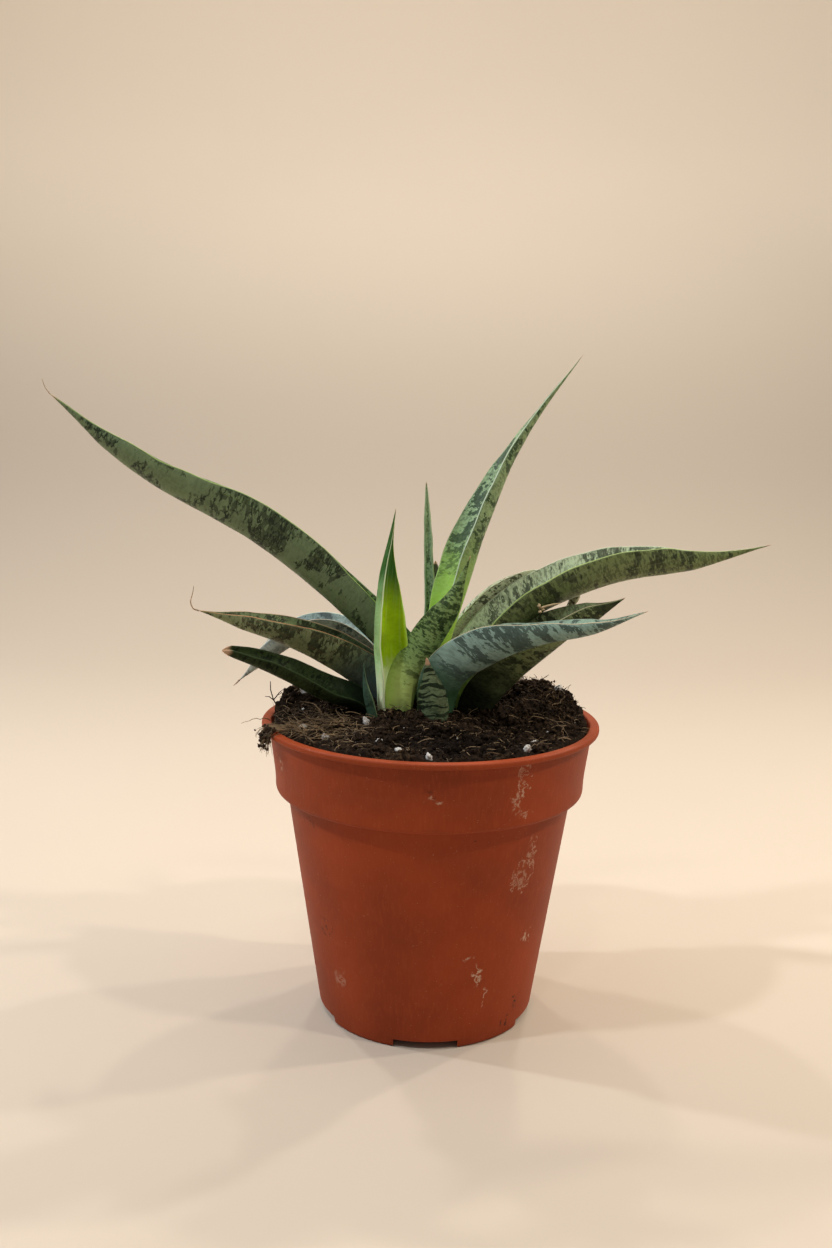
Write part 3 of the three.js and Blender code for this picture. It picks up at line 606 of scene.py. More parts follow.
def peat_material(name, settings, light=1.0, tan=0.5):
    """Dark peat that turns tan where it is fibrous, and nearly black in a patch of painted shade at the
    front, where the leaves shade the soil.
    """
    material, n = new_material(name)
    grain, patches = n.group(shared_group("Crumb Grain", crumb_grain), {"Scale": 750.0})
    base = [light * part for part in settings.colour]
    warm = [light * (0.6 * a + 0.5 * b) for a, b in zip(settings.colour, settings.fibre_colour)]
    dark = [0.18 * part for part in base]
    colour = n.mix(n.step(grain, 0.36, 0.60), dark, base)
    fibrous = n.maths("MULTIPLY", n.step(patches, 0.46, 0.66), n.step(grain, 0.48, 0.66))
    colour = n.mix(n.maths("MULTIPLY", fibrous, tan), colour, warm)
    here = n.add("ShaderNodeTexCoord").outputs["Object"]
    offset = n.add("ShaderNodeVectorMath", {0: here, 1: [MM * c for c in PAINTED_SHADE_PATCH["centre"]]},
                   operation="SUBTRACT").outputs[0]
    inside = n.stretch(offset, [1 / (MM * c) for c in PAINTED_SHADE_PATCH["half_size"]])
    reach = n.add("ShaderNodeVectorMath", {0: inside}, operation="LENGTH").outputs["Value"]
    # Painted shade: the peat darkens towards the middle of this patch
    painted_shade = n.maths("MULTIPLY", n.step(reach, 1.3, 0.5), PAINTED_SHADE_PATCH["strength"])
    colour = n.mix(painted_shade, colour, dark)
    finish_material(n, colour, 0.93, grain, bump=0.7, distance=0.0006, Specular_IOR_Level=0.08)
    return material


def fibre_material(name, colour, shade=0.45):
    material, n = new_material(name)
    grain, patches = n.group(shared_group("Crumb Grain", crumb_grain),
                             {"Scale": 1500.0, "Patch Scale": 240.0})
    dark = [shade * part for part in colour]
    finish_material(n, n.mix(n.step(patches, 0.35, 0.65), dark, colour), 0.82, grain,
                    bump=0.3, distance=0.0002)
    return material


def perlite_material():
    material, n = new_material("perlite_foam")
    grain, patches = n.group(shared_group("Crumb Grain", crumb_grain), {"Scale": 1300.0})
    colour = n.mix(n.step(grain, 0.34, 0.62), (0.22, 0.19, 0.16), (0.60, 0.58, 0.54))
    colour = n.mix(n.maths("MULTIPLY", n.step(patches, 0.55, 0.75), 0.35), colour,
                   (0.20, 0.13, 0.08))
    finish_material(n, colour, 0.9, grain, bump=0.8, distance=0.0004)
    return material


def leaf_material(name, look, seed, settings):
    """Waxy leaf: its figure, pale base, coloured margins and dry tip follow the surface."""
    material, n = new_material(name)
    leaf = n.add("ShaderNodeAttribute", attribute_name="leaf")
    along, side, face = n.add("ShaderNodeSeparateColor", {0: leaf.outputs["Color"]}).outputs
    from_margin = n.maths("ABSOLUTE", n.maths("SUBTRACT", face, 0.5))
    uv = n.add("ShaderNodeUVMap", uv_map="leaf_mm").outputs[0]
    across_mm, along_mm, _ = n.split(n.stretch(uv, (100, 100, 0)))
    place = n.join(across_mm, along_mm, n.maths("ADD", seed, n.maths("MULTIPLY", face, 7.3)))
    figure = n.group(shared_group("Leaf Figure", leaf_figure), {
        "Place": place, "Spacing": look["spacing"], "Slant": look["slant"],
        "Cover": look["cover"], "Chevron": look.get("chevron", 0.0),
        "Grain": look.get("grain", 1.0), "Net": look.get("net", 0.5),
        "Rings": look.get("rings", 0.0)})
    cloud = n.noise(place, 0.16, 3.0, 0.55)

    colour = n.mix(face, look["outer"], look["inner"])
    shade = n.maths("MULTIPLY", figure["Mottle"], look.get("mottle", 0.35))
    colour = n.mix(shade, colour, look["band"])
    pale = n.maths("MULTIPLY", n.step(cloud, 0.46, 0.70), 0.35)
    lighter = n.mix(face, *([1.5 * part for part in look[key]] for key in ("outer", "inner")))
    colour = n.mix(pale, colour, lighter)
    if "top" in look:
        top = n.step(along, look["top_starts"], look["top_starts"] + 0.22)
        colour = n.mix(top, colour, look["top"])
    ragged = n.maths("ADD", along, n.maths("MULTIPLY", n.maths("SUBTRACT", cloud, 0.5), 0.20))
    base = n.step(ragged, look["base_ends"], 0.45 * look["base_ends"])
    bands = n.maths("MULTIPLY", figure["Bands"],
                    n.maths("SUBTRACT", 0.92, n.maths("MULTIPLY", base, 0.75)))
    colour = n.mix(n.maths("MULTIPLY", base, 0.88), colour, look["base"])
    colour = n.mix(bands, colour, look["band"])
    lines = n.maths("MULTIPLY", n.maths("SUBTRACT", figure["Streaks"], 0.5), 0.5)
    colour = n.mix(n.maths("MAXIMUM", lines, 0.0), colour, look["minus"])

    margin = n.mix(n.step(side, 0.4, 0.6), look["minus"], look["plus"])
    reach = look.get("margin", 0.20)
    on_margin = n.maths("MULTIPLY", n.step(from_margin, reach + 0.08, reach - 0.06), 0.85)
    colour = n.mix(on_margin, colour, margin)
    dry_from = look.get("dry_from", 0.988)
    dry = n.step(n.maths("ADD", along, n.maths("MULTIPLY", cloud, 0.02)), dry_from,
                 dry_from + 0.025)
    colour = n.mix(dry, colour, DRY)

    roughness = n.maths("ADD", settings.roughness, n.maths("MULTIPLY", figure["Mottle"], 0.10))
    height = n.maths("ADD", n.maths("MULTIPLY", figure["Streaks"], 0.7),
                     n.maths("MULTIPLY", figure["Mottle"], 0.12))
    finish_material(n, colour, roughness, height, bump=0.28, distance=0.0003,
                    Specular_IOR_Level=look.get("gloss", 0.22),
                    Subsurface_Weight=0.20 if look["slot"] == "leaf_young" else 0.05,
                    Subsurface_Scale=0.002)
    return material


# Mesh helpers

def new_piece(name, corners, faces, material, smooth=True):
    """A mesh object at the origin, with its place in its mesh. Corners are in millimetres."""
    mesh = bpy.data.meshes.new(name)
    points = np.asarray(corners, dtype=float) * MM
    mesh.from_pydata(points.tolist(), [], faces)
    mesh.validate()
    mesh.polygons.foreach_set("use_smooth", [smooth] * len(mesh.polygons))
    mesh.materials.append(material)
    piece = bpy.data.objects.new(name, mesh)
    bpy.context.scene.collection.objects.link(piece)
    return piece


def settle(piece, slot, *nodes):
    """Ties a finished piece to the frame."""
    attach(piece, "root")
    if nodes:
        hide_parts(*nodes)
    return piece


def recalculate_normals(mesh):
    shape = bmesh.new()
    shape.from_mesh(mesh)
    bmesh.ops.remove_doubles(shape, verts=shape.verts, dist=1e-7)
    bmesh.ops.recalc_face_normals(shape, faces=shape.faces)
    shape.to_mesh(mesh)
    shape.free()


def fillet(corners, steps=5):
    """Rounds the corners of a profile. Each corner is (x, z, radius)."""
    rounded = []
    last = len(corners) - 1
    for i, (x, z, radius) in enumerate(corners):
        here = Vector((x, z))
        if i in (0, last) or radius == 0:
            rounded.append(here)
            continue
        before = Vector(corners[i - 1][:2]) - here
        after = Vector(corners[i + 1][:2]) - here
        reach = min(radius, 0.45 * before.length, 0.45 * after.length)
        start = here + reach * before.normalized()
        finish = here + reach * after.normalized()
        for k in range(steps + 1):
            t = k / steps
            rounded.append((1 - t) ** 2 * start + 2 * t * (1 - t) * here + t * t * finish)
    return rounded


def refine(points, longest):
    """Adds points to a profile so that no stretch is longer than given."""
    result = [points[0]]
    for here, there in zip(points, points[1:]):
        pieces = max(1, math.ceil((there - here).length / longest))
        result += [here.lerp(there, (k + 1) / pieces) for k in range(pieces)]
    return result


def revolve(profile, sides):
    """Corners and faces of a profile turned round Z; both its ends lie on the axis."""
    middle = profile[1:-1]
    corners = [(0, 0, profile[0].y)]
    for point in middle:
        for j in range(sides):
            angle = 2 * math.pi * j / sides
            corners.append((point.x * math.cos(angle), point.x * math.sin(angle), point.y))
    corners.append((0, 0, profile[-1].y))
    end = len(corners) - 1
    at = lambda k, j: 1 + k * sides + j % sides
    faces = [(0, at(0, j + 1), at(0, j)) for j in range(sides)]
    for k in range(len(middle) - 1):
        faces += [(at(k, j), at(k, j + 1), at(k + 1, j + 1), at(k + 1, j)) for j in range(sides)]
    last = len(middle) - 1
    faces += [(end, at(last, j), at(last, j + 1)) for j in range(sides)]
    return corners, faces


def smooth_row(rows, t):
    """Values at t (0 to 1) of a smooth curve through evenly spread rows of numbers."""
    rows = np.asarray(rows, dtype=float)
    if rows.ndim == 1:
        rows = rows[:, None]
    padded = np.vstack([2 * rows[0] - rows[1], rows, 2 * rows[-1] - rows[-2]])
    position = np.clip(np.asarray(t, dtype=float), 0, 1) * (len(rows) - 1)
    index = np.minimum(position.astype(int), len(rows) - 2)
    w = (position - index)[:, None]
    p0, p1, p2, p3 = (padded[index + k] for k in range(4))
    m1, m2 = 0.5 * (p2 - p0), 0.5 * (p3 - p1)
    return p1 + m1 * w + (3 * (p2 - p1) - 2 * m1 - m2) * w**2 + (2 * (p1 - p2) + m1 + m2) * w**3


class Strands:
    """Collects thin tapered tubes along lists of points into one mesh."""

    def __init__(self, sides=4):
        self.sides = sides
        self.corners = []
        self.faces = []

    def add(self, points, radius, end_radius=None):
        end_radius = 0.35 * radius if end_radius is None else end_radius
        points = [Vector(p) for p in points]
        first = len(self.corners)
        last = len(points) - 1
        guide = Vector((0.3, 0.2, 0.93))
        for k, here in enumerate(points):
            way = (points[min(k + 1, last)] - points[max(k - 1, 0)]).normalized()
            across = way.cross(guide).normalized()
            other = way.cross(across)
            size = radius + (end_radius - radius) * k / last
            for j in range(self.sides):
                angle = 2 * math.pi * j / self.sides
                self.corners.append(
                    here + size * (math.cos(angle) * across + math.sin(angle) * other))
        at = lambda k, j: first + k * self.sides + j % self.sides
        for k in range(last):
            for j in range(self.sides):
                self.faces.append((at(k, j), at(k, j + 1), at(k + 1, j + 1), at(k + 1, j)))
        self.faces.append(tuple(at(0, j) for j in reversed(range(self.sides))))
        self.faces.append(tuple(at(last, j) for j in range(self.sides)))

    def piece(self, name, material):
        made = new_piece(name, [tuple(c) for c in self.corners], self.faces, material)
        recalculate_normals(made.data)
        return made


def wandering_line(draw, start, direction, length, steps, bend):
    """Points of a strand that sets out in a direction and wanders."""
    here = Vector(start)
    way = Vector(direction).normalized()
    points = [here.copy()]
    for _ in range(steps):
        way = (way + bend * Vector((draw.gauss(0, 1), draw.gauss(0, 1), draw.gauss(0, 1))))
        way.normalize()
        here = here + way * length / steps
        points.append(here.copy())
    return points


def add_grain(corners, faces, centre, size, draw, subdivisions=1, rough=0.25):
    """One small uneven lump, added to lists of corners and faces."""
    shape = bmesh.new()
    bmesh.ops.create_icosphere(shape, subdivisions=subdivisions, radius=0.5)
    turn = Matrix.Rotation(draw.uniform(0, math.pi), 3, Vector(
        (draw.gauss(0, 1), draw.gauss(0, 1), draw.gauss(0, 1))).normalized())
    stretch = Vector((draw.uniform(0.8, 1.15), draw.uniform(0.75, 1.1), draw.uniform(0.65, 0.95)))
    shift = Vector((draw.uniform(0, 50), draw.uniform(0, 50), draw.uniform(0, 50)))
    first = len(corners)
    for vert in shape.verts:
        lump = 1 + rough * (noise.noise(3.1 * vert.co + shift) + 0.5 * noise.noise(7 * vert.co + shift))
        local = Vector([a * b for a, b in zip(vert.co * lump, stretch)])
        corners.append(tuple(Vector(centre) + size * (turn @ local)))
    for face in shape.faces:
        faces.append(tuple(first + v.index for v in face.verts))
    shape.free()


# Geometry Nodes: things strewn over a surface

def scatter_tree(name, shape_maker):
    """A tree that strews one small shape over a surface, with fixed random draws."""
    tree, n, start, end = new_group(
        name, "GeometryNodeTree",
        [("Geometry", "NodeSocketGeometry", None), ("Density", "NodeSocketFloat", 1e5),
         ("Smallest", "NodeSocketFloat", 0.0003), ("Largest", "NodeSocketFloat", 0.001),
         ("Lift", "NodeSocketFloat", 0.0002), ("Tilt", "NodeSocketFloat", math.pi),
         ("Seed", "NodeSocketInt", 1), ("Finish", "NodeSocketMaterial", None)],
        [("Geometry", "NodeSocketGeometry")])
    spread = n.add("GeometryNodeDistributePointsOnFaces", {
        "Mesh": start["Geometry"], "Density": start["Density"], "Seed": start["Seed"]})
    turn = n.add("FunctionNodeRandomValue", data_type="FLOAT_VECTOR")
    tilt = start["Tilt"]
    low = n.add("ShaderNodeCombineXYZ", {0: n.maths("MULTIPLY", tilt, -1.0),
                                         1: n.maths("MULTIPLY", tilt, -1.0), 2: -math.pi})
    high = n.add("ShaderNodeCombineXYZ", {0: tilt, 1: tilt, 2: math.pi})
    n.feed(turn.inputs[0], low.outputs[0])
    n.feed(turn.inputs[1], high.outputs[0])
    n.feed(turn.inputs["Seed"], start["Seed"])
    size = n.add("FunctionNodeRandomValue", data_type="FLOAT")
    n.feed(size.inputs[2], 0.0)
    n.feed(size.inputs[3], 1.0)
    n.feed(size.inputs["Seed"], n.maths("ADD", start["Seed"], 7.0))
    skew = n.maths("POWER", size.outputs[1], 2.0)
    growth = n.maths("SUBTRACT", start["Largest"], start["Smallest"])
    scale = n.maths("ADD", start["Smallest"], n.maths("MULTIPLY", skew, growth))
    lift = n.maths("MULTIPLY", scale, n.maths("DIVIDE", start["Lift"], start["Largest"]))
    raised = n.add("GeometryNodeSetPosition", {
        "Geometry": spread.outputs["Points"], "Offset": n.join(0.0, 0.0, lift)})
    shape = shape_maker(n)
    strewn = n.add("GeometryNodeInstanceOnPoints", {
        "Points": raised.outputs[0], "Instance": shape,
        "Rotation": turn.outputs[0], "Scale": n.join(scale, scale, scale)})
    real = n.add("GeometryNodeRealizeInstances", {"Geometry": strewn.outputs[0]})
    painted = n.add("GeometryNodeSetMaterial", {
        "Geometry": real.outputs[0], "Material": start["Finish"]})
    n.feed(end.inputs[0], painted.outputs[0])
    return tree


FINE_BALL = ("GeometryNodeMeshIcoSphere", {"Radius": 0.5, "Subdivisions": 1})
COARSE_BALL = ("GeometryNodeMeshUVSphere", {"Radius": 0.5, "Segments": 7, "Rings": 5})


def lump_shape(kind, sizes, uneven):
    """Maker of an uneven lump one unit across, of 20 or 35 faces."""
    def make(n):
        ball = n.add(kind, sizes)
        here = n.add("GeometryNodeInputPosition").outputs[0]
        rough = n.add("ShaderNodeTexNoise", {"Vector": here, "Scale": 3.4, "Detail": 2.0})
        centred = n.add("ShaderNodeVectorMath", {0: rough.outputs["Color"], 1: (0.5, 0.5, 0.5)},
                        operation="SUBTRACT").outputs[0]
        offset = n.stretch(centred, (uneven, uneven, uneven))
        return n.add("GeometryNodeSetPosition", {
            "Geometry": ball.outputs["Mesh"], "Offset": offset}).outputs[0]
    return make


def strand_shape(thickness, curl):
    """Maker of a short curled strand one unit long."""
    def make(n):
        line = n.add("GeometryNodeCurvePrimitiveBezierSegment", {
            "Resolution": 5, "Start": (0.0, 0.0, -0.05), "End": (1.0, 0.0, 0.0),
            "Start Handle": (0.3, curl, 0.1), "End Handle": (0.7, -curl, 0.1)})
        ring = n.add("GeometryNodeCurvePrimitiveCircle", {
            "Resolution": 3, "Radius": thickness})
        tube = n.add("GeometryNodeCurveToMesh", {
            "Curve": line.outputs[0], "Profile Curve": ring.outputs[0], "Fill Caps": True})
        return tube.outputs[0]
    return make


def strew(name, host_mesh, tree, material, **values):
    """Runs a scatter tree on a surface and keeps the result as a plain mesh piece."""
    holder = bpy.data.objects.new(name + "_host", host_mesh)
    bpy.context.scene.collection.objects.link(holder)
    modifier = holder.modifiers.new("strew", "NODES")
    modifier.node_group = tree
    sockets = {item.name: item.identifier for item in tree.interface.items_tree
               if item.in_out == "INPUT"}
    for label, value in values.items():
        modifier[sockets[label.replace("_", " ")]] = value
    modifier[sockets["Finish"]] = material
    depsgraph = bpy.context.evaluated_depsgraph_get()
    mesh = bpy.data.meshes.new_from_object(holder.evaluated_get(depsgraph))
    bpy.data.objects.remove(holder)
    if not mesh.polygons:
        raise RuntimeError(f"{name}: nothing was strewn")
    mesh.name = name
    mesh.materials.clear()
    mesh.materials.append(material)
    mesh.polygons.foreach_set("use_smooth", [True] * len(mesh.polygons))
    piece = bpy.data.objects.new(name, mesh)
    bpy.context.scene.collection.objects.link(piece)
    return piece


# Pot

def pot_profile(settings):
    """Half section of the pot, from the underside's middle round to the floor's middle."""
    p = POT
    height, rim, wall = (v / MM for v in (settings.height, settings.rim_radius, settings.wall))
    lip = p["lip_height"]
    floor_top = p["floor_z"] + p["floor_thickness"]
    lean = (p["shoulder_radius"] - p["base_radius"]) / p["shoulder_z"]
    collar, low = p["collar_radius"], p["collar_low_radius"]
    corners = [
        (0, p["floor_z"], 0),
        (p["base_radius"] - p["foot_ring"] - 1, p["floor_z"], 0.8),
        (p["base_radius"] - p["foot_ring"], 0, 0.5),
        (p["base_radius"], 0, 1.2),
        (p["shoulder_radius"], p["shoulder_z"], 0.5),
        (low - 0.2, p["shoulder_z"] + 0.3, 4.5),
        (low, p["collar_low_z"], 2.5),
        (collar, height - lip - 0.3, 0.4),
        (rim, height - lip, 0.7),
        (rim, height, 0.9),
        (collar - wall + 1.0, height, 0.8),
        (collar - wall + 0.4, height - 1.4, 0.8),
        (low - wall, p["collar_low_z"], 2.0),
        (p["shoulder_radius"] - wall, p["shoulder_z"] + 0.4, 1.0),
        (p["base_radius"] + lean * floor_top - wall, floor_top, 1.5),
        (0, floor_top, 0),
    ]
    return refine(fillet(corners), longest=6.0)


def radial_block(inner, outer, width, bottom, top, degrees):
    """Corners and faces of a block that points out from the axis."""
    turn = Matrix.Rotation(math.radians(degrees), 3, "Z")
    corners = [tuple(turn @ Vector((x, y, z)))
               for x in (inner, outer) for y in (-width / 2, width / 2) for z in (bottom, top)]
    faces = [(0, 1, 3, 2), (4, 6, 7, 5), (0, 4, 5, 1), (2, 3, 7, 6), (0, 2, 6, 4), (1, 5, 7, 3)]
    return corners, faces


def pot_cutters():
    """Blocks that cut the foot's notches and the drain holes, as one mesh."""
    corners, faces = [], []
    p = POT
    for i in range(FOOT_NOTCH["count"]):
        angle = FOOT_NOTCH["start"] + 360 * i / FOOT_NOTCH["count"]
        notch = radial_block(p["base_radius"] - p["foot_ring"] - 2, p["base_radius"] + 2,
                             FOOT_NOTCH["width"], -1, FOOT_NOTCH["height"], angle)
        drain = radial_block(DRAIN_HOLE["inner"], DRAIN_HOLE["outer"], DRAIN_HOLE["width"],
                             -1, p["floor_z"] + p["floor_thickness"] + 1, angle)
        for block_corners, block_faces in (notch, drain):
            first = len(corners)
            corners += block_corners
            faces += [tuple(first + v for v in face) for face in block_faces]
    return corners, faces


class PLANT_OT_pot(bpy.types.Operator):
    """Makes the moulded pot with its rim, collar, foot notches and drain holes"""
    bl_idname = "plant.pot"
    bl_label = "Make Pot"

    def execute(self, context):
        settings = context.scene.plant_pot
        material = pot_material(settings)
        corners, faces = revolve(pot_profile(settings), settings.sides)
        pot = new_piece("pot_shell", corners, faces, material)
        recalculate_normals(pot.data)
        cutter = new_piece("pot_cutter", *pot_cutters(), material)
        recalculate_normals(cutter.data)
        cut = pot.modifiers.new("notches", "BOOLEAN")
        cut.operation = "DIFFERENCE"
        cut.solver = "EXACT"
        cut.use_self = True
        cut.object = cutter
        depsgraph = context.evaluated_depsgraph_get()
        mesh = bpy.data.meshes.new_from_object(pot.evaluated_get(depsgraph))
        pot.modifiers.clear()
        pot.data = mesh
        bpy.data.objects.remove(cutter)
        mesh.materials.clear()
        mesh.materials.append(material)
        mesh.polygons.foreach_set("use_smooth", [True] * len(mesh.polygons))
        mesh.set_sharp_from_angle(angle=math.radians(38))
        settle(pot, "pot_plastic", "pot")
        return {"FINISHED"}


# Soil

def soil_height(x, y):
    """Height of the soil's surface, without its crumbs."""
    z = SOIL_EDGE_Z
    for hill_x, hill_y, rise, spread in SOIL_HILLS:
        z += rise * math.exp(-((x - hill_x) ** 2 + (y - hill_y) ** 2) / (2 * spread**2))
    lumps = math.sin(0.55 * x + 0.9) * math.cos(0.5 * y) + math.sin(0.31 * x - 0.43 * y)
    return z + SOIL_LUMP * lumps


def crumbled_height(x, y):
    """The surface with its clods and crumbs, which is calm and lower round each grain."""
    here = Vector((x, y, 0.0))
    clods = noise.fractal(0.14 * here, 1.0, 2.1, 3)
    crumbs = noise.fractal(0.55 * here + Vector((7, 3, 1)), 0.8, 2.2, 4)
    calm = min(1.0, min(math.hypot(x - gx, y - gy) / (1.3 * size) for gx, gy, size in PERLITE))
    return soil_height(x, y) + calm * (1.1 * clods + 0.95 * crumbs) - 0.7 * (1 - calm)


SOIL_RINGS = 120
SOIL_SIDES = 400
SOIL_TOP_RADIUS = 55.6


def soil_side():
    """Rings of the part of the soil that the pot hides: radius and height."""
    floor_top = POT["floor_z"] + POT["floor_thickness"]
    lean = (POT["shoulder_radius"] - POT["base_radius"]) / POT["shoulder_z"]
    return (
        (POT["base_radius"] + lean * floor_top - 2.2, floor_top + 0.3),
        (POT["shoulder_radius"] - 2.2, POT["shoulder_z"] + 0.8),
        (POT["collar_low_radius"] - 2.2, POT["collar_low_z"] + 0.4),
        (SOIL_TOP_RADIUS - 0.4, 103.0),
    )


def soil_body():
    """Corners and faces of the soil: a crumbled top and a plain hidden side."""
    profile = [(r, lambda x, y, z=z: z) for r, z in soil_side()]
    profile += [(SOIL_TOP_RADIUS * (1 - k / SOIL_RINGS) ** 0.85, crumbled_height)
                for k in range(SOIL_RINGS)]
    corners = [(0, 0, soil_side()[0][1])]
    for radius, height in profile:
        for j in range(SOIL_SIDES):
            angle = 2 * math.pi * j / SOIL_SIDES
            x, y = radius * math.cos(angle), radius * math.sin(angle)
            corners.append((x, y, height(x, y)))
    corners.append((0, 0, crumbled_height(0, 0)))
    at = lambda k, j: 1 + k * SOIL_SIDES + j % SOIL_SIDES
    top = len(corners) - 1
    faces = [(0, at(0, j + 1), at(0, j)) for j in range(SOIL_SIDES)]
    for k in range(len(profile) - 1):
        faces += [(at(k, j), at(k, j + 1), at(k + 1, j + 1), at(k + 1, j))
                  for j in range(SOIL_SIDES)]
    last = len(profile) - 1
    faces += [(top, at(last, j), at(last, j + 1)) for j in range(SOIL_SIDES)]
    return corners, faces


def near_grain(x, y, reach):
    """Whether a place lies on a grain of perlite or just in front of it."""
    return any(math.hypot(x - gx, y + 0.4 * size - gy) < reach * size
               for gx, gy, size in PERLITE)


def soil_surface():
    """The open top of the soil, as a plain mesh to strew things over."""
    count = 64
    step = 2 * SOIL_TOP_RADIUS / count
    corners, faces, index = [], [], {}
    for i in range(count + 1):
        for j in range(count + 1):
            x, y = -SOIL_TOP_RADIUS + i * step, -SOIL_TOP_RADIUS + j * step
            if math.hypot(x, y) <= SOIL_TOP_RADIUS:
                index[i, j] = len(corners)
                corners.append((MM * x, MM * y, MM * crumbled_height(x, y)))
    for i, j in index:
        quad = [(i, j), (i + 1, j), (i + 1, j + 1), (i, j + 1)]
        x, y = ((k + 0.5) * step - SOIL_TOP_RADIUS for k in (i, j))
        if not near_grain(x, y, 1.0) and all(key in index for key in quad):
            faces.append([index[key] for key in quad])
    mesh = bpy.data.meshes.new("soil_surface")
    mesh.from_pydata(corners, [], faces)
    return mesh


SURFACE_AREA = math.pi * (SOIL_TOP_RADIUS * MM) ** 2


class PLANT_OT_soil(bpy.types.Operator):
    """Makes the bed of peat with its crumbs, short fibres and small pale specks"""
    bl_idname = "plant.soil"
    bl_label = "Make Soil"

    def execute(self, context):
        settings = context.scene.plant_soil
        bed = new_piece("soil_bed", *soil_body(), peat_material("peat_bed", settings))
        recalculate_normals(bed.data)
        settle(bed, "peat", "soil")
        surface = soil_surface()
        fine = scatter_tree("Fine Crumbs", lump_shape(*FINE_BALL, 0.9))
        coarse = scatter_tree("Coarse Crumbs", lump_shape(*COARSE_BALL, 1.1))
        strands = scatter_tree("Short Fibres", strand_shape(0.028, 0.22))
        crumb = peat_material("peat_crumb", settings, light=1.25, tan=0.7)
        rows = (
            ("soil_crumbs_fine", fine, crumb, settings.fine_crumbs, 0.35, 1.25, 0.25, math.pi),
            ("soil_crumbs_coarse", coarse, crumb, settings.coarse_crumbs, 0.8, 2.6, 0.5, math.pi),
            ("soil_fibres_dark", strands, peat_material("peat_fibre", settings, 1.6, 0.9),
             settings.fibres, 1.2, 4.2, 0.5, 0.9),
            ("soil_fibres_tan", strands,
             fibre_material("tan_fibre", settings.fibre_colour), settings.fibres // 3,
             1.6, 6.0, 0.7, 0.35),
            ("soil_specks", fine, perlite_material(), 60, 0.4, 1.1, 0.4, math.pi),
        )
        for k, (name, tree, material, count, small, large, lift, tilt) in enumerate(rows):
            piece = strew(name, surface, tree, material, Density=count / SURFACE_AREA,
                          Smallest=small * MM, Largest=large * MM, Lift=lift * MM, Tilt=tilt,
                          Seed=settings.seed + k)
            settle(piece, "perlite" if name == "soil_specks" else "peat")
        return {"FINISHED"}


class PLANT_OT_perlite(bpy.types.Operator):
    """Makes the twelve larger grains of perlite"""
    bl_idname = "plant.perlite"
    bl_label = "Make Perlite"

    def execute(self, context):
        draw = random.Random(5)
        material = perlite_material()
        for i, (x, y, size) in enumerate(PERLITE):
            corners, faces = [], []
            place = (x, y, soil_height(x, y) + PERLITE_STANDS_PROUD * size)
            add_grain(corners, faces, place, size, draw, subdivisions=3, rough=0.5)
            node = f"perlite_{i + 1:02d}"
            grain = new_piece("grain_" + node, corners, faces, material)
            settle(grain, "perlite", node)
        return {"FINISHED"}


class PLANT_OT_rhizome(bpy.types.Operator):
    """Gives the hidden rhizome its finish"""
    bl_idname = "plant.rhizome"
    bl_label = "Finish Rhizome"

    def execute(self, context):
        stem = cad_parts["rhizome"]
        material = fibre_material("rhizome_skin", (0.50, 0.38, 0.20), shade=0.6)
        for slot in stem.material_slots:
            slot.material = material
        return {"FINISHED"}


class PLANT_OT_roots(bpy.types.Operator):
    """Makes the mat of roots at the left, its tuft over the rim, and loose long fibres"""
    bl_idname = "plant.roots"
    bl_label = "Make Loose Roots"

    def execute(self, context):
        settings = context.scene.plant_soil
        draw = random.Random(settings.seed)
        tan = fibre_material("dry_root", settings.fibre_colour, shade=0.4)
        root_mat(draw, tan)
        rim_tuft(draw, tan, peat_material("tuft_crumb", settings, 1.9, 0.9))
        loose_fibres(draw, tan)
        twig(draw, fibre_material("twig_bark", (0.045, 0.026, 0.016)))
        soil_frizz(draw, settings)
        return {"FINISHED"}


FRIZZ = (                   # angle and its spread in degrees, radii, count of sprigs
    (55, 24, 40, 54, 170), (150, 14, 46, 54, 60), (15, 10, 48, 56, 50), (-90, 60, 30, 54, 120),
)


def soil_frizz(draw, settings):
    """Short dark sprigs with crumbs on them, which stand up from the soil near its edge."""
    strands = Strands(sides=3)
    corners, faces = [], []
    for middle, spread, inner, outer, count in FRIZZ:
        for _ in range(count):
            angle = math.radians(draw.gauss(middle, spread))
            radius = draw.uniform(inner, outer)
            x, y = radius * math.cos(angle), radius * math.sin(angle)
            if near_grain(x, y, 1.4):
                continue
            start = (x, y, crumbled_height(x, y) - 0.5)
            way = (draw.gauss(0, 0.55), draw.gauss(0, 0.55), 1.0)
            line = wandering_line(draw, start, way, draw.uniform(1.8, 5.0), 4, 0.35)
            strands.add(line, draw.uniform(0.12, 0.24))
            side = Vector((draw.gauss(0, 1), draw.gauss(0, 1), 0.6)).normalized()
            strands.add([line[2], line[2] + draw.uniform(0.8, 2.2) * side], 0.12)
            for point in line[2:]:
                if draw.random() < 0.45:
                    add_grain(corners, faces, point, draw.uniform(0.4, 1.1), draw, 1, 0.9)
    crumb = peat_material("frizz_crumb", settings, 1.2, 0.6)
    settle(strands.piece("soil_frizz", crumb), "peat")
    settle(new_piece("soil_frizz_crumbs", corners, faces, crumb), "peat")


def root_mat(draw, material):
    """Flat tangle of fine roots near the rim, at the front left."""
    strands = Strands(sides=3)
    for _ in range(420):
        angle = math.radians(draw.gauss(-146, 10))
        radius = draw.uniform(35, 54)
        x, y = radius * math.cos(angle), radius * math.sin(angle)
        heading = math.radians(draw.gauss(200, 50))
        start = (x, y, crumbled_height(x, y) + draw.uniform(0.1, 1.6))
        way = (math.cos(heading), math.sin(heading), draw.gauss(0, 0.12))
        line = wandering_line(draw, start, way, draw.uniform(3, 9), 5, 0.22)
        line = [p for p in line if math.hypot(p.x, p.y) < 58]
        if len(line) > 2:
            strands.add(line, draw.choice((0.08, 0.12, 0.22)))
    settle(strands.piece("root_mat", material), "peat")


TUFT_ANGLE = -157.0


